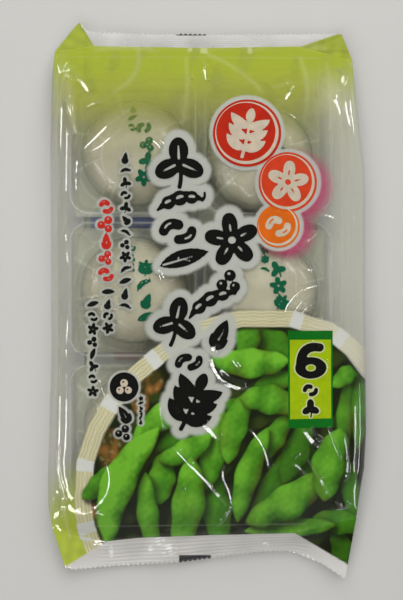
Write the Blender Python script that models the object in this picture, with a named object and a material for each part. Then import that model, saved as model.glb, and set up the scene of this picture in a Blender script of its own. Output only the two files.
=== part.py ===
"""Manju pack: a sealed pillow pack lying face up, modelled as one closed solid in metres."""

import bmesh
import bpy
import numpy as np

MM = 0.001

# Overall layout, in millimetres
TRAY_X = (-67.5, 61.3)
DOME_COLUMNS = (-34.5, 28.3)
DOME_ROWS = (-61.8, 4.1, 69.2)

# Heights above the table
MID_HEIGHT = 11.5
VALLEY_HEIGHT = 27.6
DOME_RISE = 5.0
DOME_SPREAD = 16.5
RIM_DROP = 3.6

# Rounding of the long sides and of the two ends
FRONT_SIDE_RADIUS = 13.0
FRONT_END_RADIUS = 34.0
BACK_SIDE_RADIUS = 11.0
BACK_END_RADIUS = 25.0
SIDE_BAND = 1.6

# End seals
SEAL_THICKNESS = 0.9
SEAL_LIP_HEIGHT = 4.0
EAR_LIFT = 3.0

# Back fin, folded flat in the valley between the two columns of cells, as shares of the width
FIN_LEFT = 0.434
FIN_RIGHT = 0.518
FIN_STEP = 0.006
FIN_THICKNESS = 0.5
BACK_VALLEY_HALF = 13.0
BACK_VALLEY_DEPTH = 1.1
BACK_VALLEY_X = -3.0

# Mesh density
SIDE_STEPS = 5
CROSS_STEPS = 24
BODY_STEPS = 42
SEAL_STEPS = 3

# Outline seen from above, as points along each edge
LEFT_EDGE = (
    (-110.9, -73.9),
    (-100.8, -75.9),
    (-87.8, -76.3),
    (-24.5, -74.5),
    (71.5, -75.1),
    (107.5, -74.2),
    (118.8, -73.0),
)
RIGHT_EDGE = (
    (-105.5, 71.6),
    (-96.5, 72.7),
    (-81.0, 75.4),
    (-62.9, 76.3),
    (0.0, 75.6),
    (47.5, 75.8),
    (62.4, 75.4),
    (81.0, 73.2),
    (100.8, 71.0),
    (114.5, 69.6),
)
TOP_FOLD = ((-73.0, 118.8), (-54.2, 121.4), (0.0, 120.5), (43.9, 121.3), (69.6, 114.5))
TOP_CUT = ((-61.4, 133.4), (-53.8, 128.4), (0.0, 127.6), (61.4, 127.8), (64.8, 127.4))
BOTTOM_FOLD = (
    (-73.9, -110.9),
    (-49.0, -116.4),
    (-33.3, -114.7),
    (1.4, -113.4),
    (42.2, -112.4),
    (71.6, -105.5),
)
BOTTOM_CUT = (
    (-68.4, -127.9),
    (-64.8, -128.9),
    (-13.4, -125.8),
    (5.8, -123.4),
    (25.9, -120.7),
    (40.8, -120.7),
    (56.2, -126.5),
    (66.7, -133.2),
)


def along(points, value):
    """Value of an edge at one coordinate, straight between its points."""
    places, sizes = zip(*points)
    return float(np.interp(value, places, sizes))


def shoulder(distance, radius, power):
    """Rise from 0 at an edge to 1 at the given radius, upright at the edge for a power of 2."""
    share = min(max(distance / radius, 0.0), 1.0)
    return (1.0 - (1.0 - share) ** power) ** (1.0 / power)


def ease(distance, radius):
    """Rise from 0 at an edge to 1 at the given radius, evenly bent and level at the end."""
    share = min(max(distance / radius, 0.0), 1.0)
    return 1.0 - (1.0 - share) ** 2


def step(value, low, high):
    """Smooth step from 0 to 1."""
    share = min(max((value - low) / (high - low), 0.0), 1.0)
    return share * share * (3.0 - 2.0 * share)


def column_shares():
    """Position of each column as a distance from the left side, from the right side, or between."""
    turns = [1.0 - np.cos(0.5 * np.pi * k / SIDE_STEPS) for k in range(SIDE_STEPS)]
    left = [(turn * FRONT_SIDE_RADIUS, 0.0) for turn in turns]
    spread = [k / CROSS_STEPS for k in range(CROSS_STEPS + 1)]
    spread += [FIN_LEFT - FIN_STEP, FIN_LEFT, FIN_RIGHT, FIN_RIGHT + FIN_STEP]
    inner = [(FRONT_SIDE_RADIUS, share) for share in sorted(spread)]
    right = [(turn * FRONT_SIDE_RADIUS, 1.0) for turn in reversed(turns)]
    return left + inner + right


def row_shares():
    """Position of each row: which part of the pack it is in, and how far along that part."""
    rows = [("bottom", 1.0 - k / SEAL_STEPS) for k in range(SEAL_STEPS)]
    for k in range(BODY_STEPS + 1):
        turn = k / BODY_STEPS
        rows.append(("body", turn - 0.38 * np.sin(2.0 * np.pi * turn) / (2.0 * np.pi)))
    rows += [("top", (k + 1) / SEAL_STEPS) for k in range(SEAL_STEPS)]
    return rows


def across(left, right, column):
    """Coordinate of a column between two sides."""
    inset, share = column
    if inset < FRONT_SIDE_RADIUS:
        return left + inset if share == 0.0 else right - inset
    return left + inset + share * (right - left - 2.0 * inset)


def plan(column, row):
    """Place of one grid point seen from above."""
    part, share = row
    if part == "body":
        lefts = BOTTOM_FOLD[0][1] + share * (TOP_FOLD[0][1] - BOTTOM_FOLD[0][1])
        rights = BOTTOM_FOLD[-1][1] + share * (TOP_FOLD[-1][1] - BOTTOM_FOLD[-1][1])
        x = across(along(LEFT_EDGE, lefts), along(RIGHT_EDGE, rights), column)
        low = along(BOTTOM_FOLD, x)
        return x, low + share * (along(TOP_FOLD, x) - low)
    fold, cut = (BOTTOM_FOLD, BOTTOM_CUT) if part == "bottom" else (TOP_FOLD, TOP_CUT)
    fold_x = across(fold[0][0], fold[-1][0], column)
    level = (fold_x - fold[0][0]) / (fold[-1][0] - fold[0][0])
    cut_x = cut[0][0] + level * (cut[-1][0] - cut[0][0])
    x = fold_x + share * (cut_x - fold_x)
    y = along(fold, fold_x) + share * (along(cut, cut_x) - along(fold, fold_x))
    return x, y


def crown(x, y):
    """Height of the front film where the tray and the six domes carry it."""
    bumps = 0.0
    for dome_x in DOME_COLUMNS:
        for dome_y in DOME_ROWS:
            reach = ((x - dome_x) ** 2 + (y - dome_y) ** 2) / (2.0 * DOME_SPREAD**2)
            bumps += np.exp(-reach)
    middle = 0.5 * (TRAY_X[0] + TRAY_X[1])
    rim = abs(x - middle) / (TRAY_X[1] - middle)
    return VALLEY_HEIGHT + DOME_RISE * min(bumps, 1.08) - RIM_DROP * min(rim, 1.1) ** 4


def seal_height(x, share):
    """Height of an end seal, drooping from its fold to its cut edge and lifting at the ears."""
    lift = EAR_LIFT * (min(abs(x) / 66.0, 1.0) ** 6)
    return MID_HEIGHT + share * (SEAL_LIP_HEIGHT + lift - MID_HEIGHT)


def front_height(x, y, column, row):
    """Height of the front film."""
    part, share = row
    if part != "body":
        return seal_height(x, share) + 0.5 * SEAL_THICKNESS
    left, right, low, high = margins(x, y)
    sides = shoulder(left, FRONT_SIDE_RADIUS, 2.3) * shoulder(right, FRONT_SIDE_RADIUS, 2.3)
    ends = ease(low, FRONT_END_RADIUS) * ease(high, FRONT_END_RADIUS)
    edge = MID_HEIGHT + half_band(low, high)
    return edge + (crown(x, y) - edge) * sides * ends


def back_height(x, y, column, row):
    """Height of the back film, flat on the table below the tray."""
    part, share = row
    if part != "body":
        return seal_height(x, share) - 0.5 * SEAL_THICKNESS
    left, right, low, high = margins(x, y)
    sides = shoulder(left, BACK_SIDE_RADIUS, 2.4) * shoulder(right, BACK_SIDE_RADIUS, 2.4)
    ends = shoulder(low, BACK_END_RADIUS, 1.8) * shoulder(high, BACK_END_RADIUS, 1.8)
    edge = MID_HEIGHT - half_band(low, high)
    off_centre = abs(x - BACK_VALLEY_X)
    valley = BACK_VALLEY_DEPTH * (1.0 - step(off_centre, 6.5, BACK_VALLEY_HALF))
    fin = FIN_THICKNESS if FIN_LEFT <= column[1] <= FIN_RIGHT else 0.0
    return edge * (1.0 - sides * ends) + (valley - fin) * min(sides * ends, 1.0)


def margins(x, y):
    """Distances from a point to the left side, the right side and the two seal folds."""
    return (
        x - along(LEFT_EDGE, y),
        along(RIGHT_EDGE, y) - x,
        y - along(BOTTOM_FOLD, x),
        along(TOP_FOLD, x) - y,
    )


def half_band(low, high):
    """Half the height of the upright band along the sides, which thins out towards the seals."""
    share = step(min(low, high), 0.0, 22.0)
    return 0.5 * SEAL_THICKNESS + share * (SIDE_BAND - 0.5 * SEAL_THICKNESS)


def add_sheet(mesh, height, columns, rows):
    """One film as a grid, moved from its flat layout to its shape. Returns its open edge."""
    wide, long = len(columns) - 1, len(rows) - 1
    made = bmesh.ops.create_grid(mesh, x_segments=wide, y_segments=long, size=1.0)
    for vert in made["verts"]:
        column = columns[round((vert.co.x + 1.0) * 0.5 * wide)]
        row = rows[round((vert.co.y + 1.0) * 0.5 * long)]
        x, y = plan(column, row)
        vert.co = (x * MM, y * MM, height(x, y, column, row) * MM)
    edges = {edge for vert in made["verts"] for edge in vert.link_edges}
    return [edge for edge in edges if edge.is_boundary]


def build_bag():
    """The whole pack as one closed solid."""
    columns = column_shares()
    rows = row_shares()
    mesh = bmesh.new()
    front = add_sheet(mesh, front_height, columns, rows)
    back = add_sheet(mesh, back_height, columns, rows)
    bmesh.ops.bridge_loops(mesh, edges=front + back)
    bmesh.ops.recalc_face_normals(mesh, faces=mesh.faces[:])
    xs = [vert.co.x for vert in mesh.verts]
    ys = [vert.co.y for vert in mesh.verts]
    shift = (-0.5 * (min(xs) + max(xs)), -0.5 * (min(ys) + max(ys)), 0.0)
    bmesh.ops.translate(mesh, verts=mesh.verts[:], vec=shift)
    data = bpy.data.meshes.new("bag")
    mesh.to_mesh(data)
    mesh.free()
    for polygon in data.polygons:
        polygon.use_smooth = True
    bag = bpy.data.objects.new("bag", data)
    data.materials.append(film_material())
    return bag


def film_material():
    """Glossy printed film."""
    material = bpy.data.materials.new("printed_film")
    material.use_nodes = True
    shader = material.node_tree.nodes["Principled BSDF"]
    shader.inputs["Base Color"].default_value = (0.42, 0.50, 0.24, 1.0)
    shader.inputs["Roughness"].default_value = 0.16
    shader.inputs["Metallic"].default_value = 0.0
    return material


def main():
    """Build the pack in an empty scene."""
    for leftover in list(bpy.data.objects):
        bpy.data.objects.remove(leftover, do_unlink=True)
    collection = bpy.data.collections.new("manju_pack")
    bpy.context.scene.collection.children.link(collection)
    collection.objects.link(build_bag())


main()
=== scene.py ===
"""Looks for a sealed pillow pack of wrapped manju.

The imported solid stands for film, tray and buns together. This script replaces it by the clear film with
its relief, the printed colours, the crimped seals, the moulded tray, the buns in their wrappers and the
back panel. Lengths are in millimetres until a mesh is written.
"""

from __future__ import annotations

import itertools
import logging
import math
from collections.abc import Callable
from dataclasses import dataclass, field
from enum import Enum
from functools import partial
from typing import Protocol

import bmesh
import bpy
import numpy as np
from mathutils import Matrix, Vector


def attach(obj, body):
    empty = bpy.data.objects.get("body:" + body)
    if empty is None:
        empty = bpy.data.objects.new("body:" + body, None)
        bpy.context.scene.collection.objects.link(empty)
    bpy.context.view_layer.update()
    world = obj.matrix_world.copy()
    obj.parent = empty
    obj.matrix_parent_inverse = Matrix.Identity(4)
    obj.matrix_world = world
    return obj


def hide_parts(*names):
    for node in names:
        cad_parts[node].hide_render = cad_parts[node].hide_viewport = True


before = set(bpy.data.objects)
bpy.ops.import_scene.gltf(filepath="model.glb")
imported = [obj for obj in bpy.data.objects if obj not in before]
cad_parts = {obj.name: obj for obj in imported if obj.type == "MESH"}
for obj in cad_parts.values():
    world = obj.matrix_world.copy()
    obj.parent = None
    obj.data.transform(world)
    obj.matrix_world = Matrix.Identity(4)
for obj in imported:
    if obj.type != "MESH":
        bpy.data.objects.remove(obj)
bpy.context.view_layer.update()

Array = np.ndarray
Point = tuple[float, float]
Place = tuple[float, float, float]
Colour = tuple[float, float, float]
Bounds = tuple[float, float, float, float]
Pair = tuple[Array, Array]
Places = tuple[Array, Array, Array]
Points = tuple[Point, ...]
PointPairs = tuple[tuple[Point, Point], ...]
Placing = Callable[[Array, Array], Places]
Distance = Callable[[Array, Array], Array]
Piece = bpy.types.Object
Material = bpy.types.Material
Node = bpy.types.Node
Socket = bpy.types.NodeSocket
Value = Socket | float

LOG = logging.getLogger("manju_pack")
MM = 0.001
NODE = "bag"


def smooth(value: Array, low: float, high: float) -> Array:
    """Smooth step from 0 at low to 1 at high."""
    share = np.clip((value - low) / (high - low), 0.0, 1.0)
    return share * share * (3.0 - 2.0 * share)


def srgb(red: float, green: float, blue: float) -> Colour:
    """Linear colour from 8-bit display values."""
    shares = (red / 255.0, green / 255.0, blue / 255.0)
    return tuple(c / 12.92 if c <= 0.04045 else ((c + 0.055) / 1.055) ** 2.4 for c in shares)


def blend(first: Colour | Array, second: Colour | Array, share: Array) -> Array:
    """Colours between two, as far from the first as the share at each place says."""
    return np.asarray(first) + (np.asarray(second) - first) * share[:, None]


def segment_distance(x: Array, y: Array, start: Point, end: Point) -> Pair:
    """Distance to a straight piece.

    Args:
        x: First coordinate of each place.
        y: Second coordinate of each place.
        start: One end of the piece.
        end: Its other end.

    Returns:
        The distance, and how far along the piece the nearest point lies, from 0 to 1.
    """
    run_x, run_y = end[0] - start[0], end[1] - start[1]
    length = max(run_x * run_x + run_y * run_y, 1e-9)
    along = np.clip(((x - start[0]) * run_x + (y - start[1]) * run_y) / length, 0.0, 1.0)
    return np.hypot(x - start[0] - along * run_x, y - start[1] - along * run_y), along


def polygon_distance(x: Array, y: Array, corners: Points) -> Array:
    """Distance to a closed outline, negative inside it.

    Args:
        x: First coordinate of each place.
        y: Second coordinate of each place.
        corners: Corners of the outline, in order.

    Returns:
        The distance at each place.
    """
    nearest = np.full(x.shape, 1e9)
    inside = np.zeros(x.shape, dtype=bool)
    for start, end in zip(corners, corners[1:] + corners[:1]):
        nearest = np.minimum(nearest, segment_distance(x, y, start, end)[0])
        rise = end[1] - start[1]
        if abs(rise) < 1e-9:
            continue
        crossing = start[0] + (y - start[1]) * (end[0] - start[0]) / rise
        inside ^= ((start[1] > y) != (end[1] > y)) & (x < crossing)
    return np.where(inside, -nearest, nearest)


def box_distance(x: Array, y: Array, centre: Point, half: Point, radius: float = 0.0) -> Array:
    """Distance to an upright rectangle with round corners, negative inside it."""
    away_x = np.abs(x - centre[0]) - half[0] + radius
    away_y = np.abs(y - centre[1]) - half[1] + radius
    outer = np.hypot(np.maximum(away_x, 0.0), np.maximum(away_y, 0.0))
    return outer + np.minimum(np.maximum(away_x, away_y), 0.0) - radius


def waves(x: Array, y: Array, length: float, seed: int, count: int = 7) -> Array:
    """Seeded smooth noise, as a sum of waves near one length.

    Args:
        x: First coordinate of each place.
        y: Second coordinate of each place.
        length: Usual length of a wave.
        seed: Seed of the draws.
        count: Number of waves.

    Returns:
        The noise at each place, of about unit size.
    """
    draw = np.random.default_rng(seed)
    total = np.zeros(np.shape(x))
    for turn, phase, stretch in draw.uniform(0.0, 1.0, (count, 3)):
        pace = 2.0 * math.pi / (length * (0.7 + 0.8 * stretch))
        angle = 2.0 * math.pi * turn
        total += np.sin(pace * (x * math.cos(angle) + y * math.sin(angle)) + 2.0 * math.pi * phase)
    return total / math.sqrt(0.5 * count)


@dataclass(frozen=True)
class PhotoView:
    """The camera above the pack, and the photograph's pixels that it gives."""

    width_px: float = 403.0
    height_px: float = 600.0
    axis: Point = (-2.64, -0.48)
    level: float = 11.5
    distance: float = 650.0
    pitch: float = 0.48
    print_level: float = 29.5

    def scale(self, z: Array | float) -> Array | float:
        """Millimetres in one pixel at a height."""
        return self.pitch * (1.0 - (z - self.level) / self.distance)

    def pixel(self, x: Array, y: Array, z: Array) -> Pair:
        """Pixel at which a place shows."""
        scale = self.scale(z)
        return (
            0.5 * self.width_px + (x - self.axis[0]) / scale,
            0.5 * self.height_px - (y - self.axis[1]) / scale,
        )

    def place(self, px: Array, py: Array, z: float) -> Pair:
        """Place at a height that shows at a pixel."""
        scale = self.scale(z)
        return (
            self.axis[0] + (px - 0.5 * self.width_px) * scale,
            self.axis[1] - (py - 0.5 * self.height_px) * scale,
        )

    def make_camera(self) -> None:
        """Camera that looks straight down on the pack."""
        data = bpy.data.cameras.new("camera")
        data.sensor_fit = "VERTICAL"
        data.sensor_height = 36.0
        data.lens = data.sensor_height * self.distance / (self.pitch * self.height_px)
        camera = bpy.data.objects.new("camera", data)
        height = self.level + self.distance
        camera.location = (self.axis[0] * MM, self.axis[1] * MM, height * MM)
        bpy.context.scene.collection.objects.link(camera)
        bpy.context.scene.camera = camera


class End(Enum):
    """The two sealed ends of the pack."""

    TOP = "top"
    BOTTOM = "bottom"


@dataclass(frozen=True)
class PackShape:
    """Outline and heights of the pack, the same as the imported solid's."""

    mid_height: float = 11.5
    valley_height: float = 27.6
    dome_rise: float = 5.0
    dome_spread: float = 16.5
    rim_drop: float = 3.6
    most_bumps: float = 1.08
    most_rim: float = 1.1
    dome_columns: Point = (-34.5, 28.3)
    dome_rows: tuple[float, float, float] = (-61.8, 4.1, 69.2)
    tray_x: Point = (-67.5, 61.3)
    front_side_radius: float = 13.0
    front_side_power: float = 2.3
    front_end_radius: float = 34.0
    back_side_radius: float = 11.0
    back_side_power: float = 2.4
    back_end_radius: float = 25.0
    back_end_power: float = 1.8
    column_band: float = 0.12
    row_crowding: float = 0.2
    seal_lip_height: float = 4.0
    ear_lift: float = 3.0
    ear_x: float = 66.0
    back_valley_x: float = -3.0
    back_valley_flat: float = 6.5
    back_valley_half: float = 13.0
    back_valley_depth: float = 1.1
    left_edge: Points = (
        (-110.9, -73.9), (-100.8, -75.9), (-87.8, -76.3), (-24.5, -74.5), (71.5, -75.1),
        (107.5, -74.2), (118.8, -73.0),
    )
    right_edge: Points = (
        (-105.5, 71.6), (-96.5, 72.7), (-81.0, 75.4), (-62.9, 76.3), (0.0, 75.6), (47.5, 75.8),
        (62.4, 75.4), (81.0, 73.2), (100.8, 71.0), (114.5, 69.6),
    )
    top_fold: Points = (
        (-73.0, 118.8), (-54.2, 121.4), (0.0, 120.5), (43.9, 121.3), (69.6, 114.5),
    )
    top_cut: Points = (
        (-61.4, 133.4), (-58.6, 129.6), (-53.8, 128.4), (0.0, 127.6), (61.4, 127.8), (64.8, 127.4),
    )
    bottom_fold: Points = (
        (-73.9, -110.9), (-49.0, -116.4), (-33.3, -114.7), (1.4, -113.4), (42.2, -112.4),
        (71.6, -105.5),
    )
    bottom_cut: Points = (
        (-68.4, -127.9), (-64.8, -128.9), (-13.4, -125.8), (5.8, -123.4), (25.9, -120.7),
        (40.8, -120.7), (56.2, -126.5), (66.7, -133.2),
    )

    @staticmethod
    def along(points: Points, value: Array) -> Array:
        """Value of an edge at each coordinate, straight between its points."""
        places, sizes = zip(*points)
        return np.interp(value, places, sizes)

    @staticmethod
    def shoulder(distance: Array, radius: float, power: float) -> Array:
        """Rise from 0 at an edge to 1 at the given radius."""
        share = np.clip(distance / radius, 0.0, 1.0)
        return (1.0 - (1.0 - share) ** power) ** (1.0 / power)

    @staticmethod
    def ease(distance: Array, radius: float) -> Array:
        """Rise from 0 at an edge to 1 at the given radius, evenly bent and level at the end."""
        return 1.0 - (1.0 - np.clip(distance / radius, 0.0, 1.0)) ** 2

    def across(self, left: Array, right: Array, u: Array) -> Array:
        """Coordinate between two sides, with the columns closer together at the rounded sides."""
        band = self.column_band
        radius = self.front_side_radius
        near = radius * (1.0 - np.cos(0.5 * np.pi * np.clip(u / band, 0.0, 1.0)))
        far = radius * (1.0 - np.cos(0.5 * np.pi * np.clip((1.0 - u) / band, 0.0, 1.0)))
        share = np.clip((u - band) / (1.0 - 2.0 * band), 0.0, 1.0)
        return left + near + share * (right - left - 2.0 * radius) + radius - far

    def body_plan(self, u: Array, v: Array) -> Pair:
        """Place on the body of the pack.

        Args:
            u: Share of the way across, from the left side.
            v: Share of the way along, from the bottom fold.

        Returns:
            x and y in millimetres.
        """
        share = v - self.row_crowding * np.sin(2.0 * np.pi * v) / (2.0 * np.pi)
        left_low, left_high = self.bottom_fold[0][1], self.top_fold[0][1]
        right_low, right_high = self.bottom_fold[-1][1], self.top_fold[-1][1]
        left = self.along(self.left_edge, left_low + share * (left_high - left_low))
        right = self.along(self.right_edge, right_low + share * (right_high - right_low))
        x = self.across(left, right, u)
        low = self.along(self.bottom_fold, x)
        return x, low + share * (self.along(self.top_fold, x) - low)

    def seal_plan(self, end: End, u: Array, v: Array) -> Pair:
        """Place on an end seal.

        Args:
            end: Which end.
            u: Share of the way across, from the left side.
            v: 0 at the fold and 1 at the cut edge.

        Returns:
            x and y in millimetres.
        """
        fold, cut = self.top_fold, self.top_cut
        if end is End.BOTTOM:
            fold, cut = self.bottom_fold, self.bottom_cut
        fold_x = fold[0][0] + u * (fold[-1][0] - fold[0][0])
        cut_x = cut[0][0] + u * (cut[-1][0] - cut[0][0])
        fold_y = self.along(fold, fold_x)
        return fold_x + v * (cut_x - fold_x), fold_y + v * (self.along(cut, cut_x) - fold_y)

    def seal_height(self, x: Array, v: Array) -> Array:
        """Height of an end seal, drooping to its cut edge and lifting at the ears."""
        lift = self.ear_lift * np.minimum(np.abs(x) / self.ear_x, 1.0) ** 6
        return self.mid_height + v * (self.seal_lip_height + lift - self.mid_height)

    def margins(self, x: Array, y: Array) -> tuple[Array, Array, Array, Array]:
        """Distances to the left side, the right side and the two folds."""
        return (
            x - self.along(self.left_edge, y),
            self.along(self.right_edge, y) - x,
            y - self.along(self.bottom_fold, x),
            self.along(self.top_fold, x) - y,
        )

    def edge_distance(self, x: Array, y: Array) -> Array:
        """Distance to the nearest side or fold."""
        return np.minimum.reduce(self.margins(x, y))

    def crown(self, x: Array, y: Array) -> Array:
        """Height of the front film where the tray and the buns carry it."""
        bumps = np.zeros(np.shape(x))
        for dome_x in self.dome_columns:
            for dome_y in self.dome_rows:
                reach = (x - dome_x) ** 2 + (y - dome_y) ** 2
                bumps = bumps + np.exp(-reach / (2.0 * self.dome_spread**2))
        middle = 0.5 * (self.tray_x[0] + self.tray_x[1])
        rim = np.minimum(np.abs(x - middle) / (self.tray_x[1] - middle), self.most_rim)
        rise = self.dome_rise * np.minimum(bumps, self.most_bumps)
        return self.valley_height + rise - self.rim_drop * rim**4

    def front_height(self, x: Array, y: Array) -> Array:
        """Height of the front film without its fine relief."""
        left, right, low, high = self.margins(x, y)
        radius, power = self.front_side_radius, self.front_side_power
        sides = self.shoulder(left, radius, power) * self.shoulder(right, radius, power)
        radius = self.front_end_radius
        ends = self.ease(low, radius) * self.ease(high, radius)
        return self.mid_height + (self.crown(x, y) - self.mid_height) * sides * ends

    def back_height(self, x: Array, y: Array) -> Array:
        """Height of the back film, flat on the table below the tray."""
        left, right, low, high = self.margins(x, y)
        radius, power = self.back_side_radius, self.back_side_power
        sides = self.shoulder(left, radius, power) * self.shoulder(right, radius, power)
        radius, power = self.back_end_radius, self.back_end_power
        ends = self.shoulder(low, radius, power) * self.shoulder(high, radius, power)
        rise = smooth(np.abs(x - self.back_valley_x), self.back_valley_flat, self.back_valley_half)
        valley = self.back_valley_depth * (1.0 - rise)
        return self.mid_height * (1.0 - sides * ends) + valley * sides * ends


class Finish(Protocol):
    """A named finish that can build its material."""

    name: str

    def make(self) -> Material:
        """Build the material."""


class SheetMaker:
    """Makes sheets from bmesh grids that are moved into place, and gives them ink and finishes."""

    @staticmethod
    def points(mesh: bpy.types.Mesh) -> Array:
        """Places of a mesh's vertices, in the mesh's own unit."""
        flat = np.empty(len(mesh.vertices) * 3, dtype=np.float32)
        mesh.vertices.foreach_get("co", flat)
        return flat.reshape(-1, 3).astype(float)

    @classmethod
    def places(cls, piece: Piece) -> Places:
        """Places of a piece's vertices, in millimetres."""
        x, y, z = (cls.points(piece.data) / MM).T
        return x, y, z

    @classmethod
    def make(
        cls, name: str, wide: int, long: int, placing: Placing, finish: Finish, face_up: bool = True
    ) -> Piece:
        """Grid whose points are moved by a function of its two shares.

        Args:
            name: Name of the new object.
            wide: Number of faces across.
            long: Number of faces along.
            placing: Gives x, y and z in millimetres for shares from 0 to 1.
            finish: What it is made of.
            face_up: Whether the faces look up.

        Returns:
            The new object, smooth shaded and in the scene.
        """
        grid = bmesh.new()
        bmesh.ops.create_grid(grid, x_segments=wide, y_segments=long, size=1.0)
        if not face_up:
            bmesh.ops.reverse_faces(grid, faces=grid.faces[:])
        mesh = bpy.data.meshes.new(name)
        grid.to_mesh(mesh)
        grid.free()
        flat = cls.points(mesh)
        x, y, z = placing(0.5 * (flat[:, 0] + 1.0), 0.5 * (flat[:, 1] + 1.0))
        places = np.stack([x, y, z], axis=1) * MM
        mesh.vertices.foreach_set("co", places.astype(np.float32).ravel())
        mesh.update()
        return cls.show(name, mesh, finish)

    @staticmethod
    def show(name: str, mesh: bpy.types.Mesh, finish: Finish) -> Piece:
        """Smooth shaded object of a mesh, with its finish and linked to the scene."""
        mesh.polygons.foreach_set("use_smooth", [True] * len(mesh.polygons))
        mesh.materials.append(bpy.data.materials.get(finish.name) or finish.make())
        piece = bpy.data.objects.new(name, mesh)
        bpy.context.scene.collection.objects.link(piece)
        return piece

    @staticmethod
    def ink(piece: Piece, canvas: Canvas) -> Piece:
        """Store painted colours and how opaque they are on a piece's points."""
        layer = piece.data.color_attributes.new("ink", "FLOAT_COLOR", "POINT")
        values = np.concatenate([canvas.rgb, canvas.cover[:, None]], axis=1)
        layer.data.foreach_set("color", values.astype(np.float32).ravel())
        return piece


@dataclass(frozen=True)
class Crease:
    """A raised crease of the film along a path in the photograph's pixels."""

    path: Points
    width: float = 0.9
    flat: float = 0.9
    strength: float = 1.0

    def curve(self) -> list[Point]:
        """The path with its corners cut twice, so that it bends smoothly."""
        points = list(self.path)
        for _ in range(2):
            cut = [points[0]]
            for (ax, ay), (bx, by) in zip(points, points[1:]):
                cut += [(s * ax + (1 - s) * bx, s * ay + (1 - s) * by) for s in (0.75, 0.25)]
            points = cut + [points[-1]]
        return points

    def distance(self, px: Array, py: Array) -> Array:
        """Distance to the path in pixels."""
        curve = self.curve()
        return np.minimum.reduce([segment_distance(px, py, a, b)[0] for a, b in zip(curve, curve[1:])])


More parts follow.
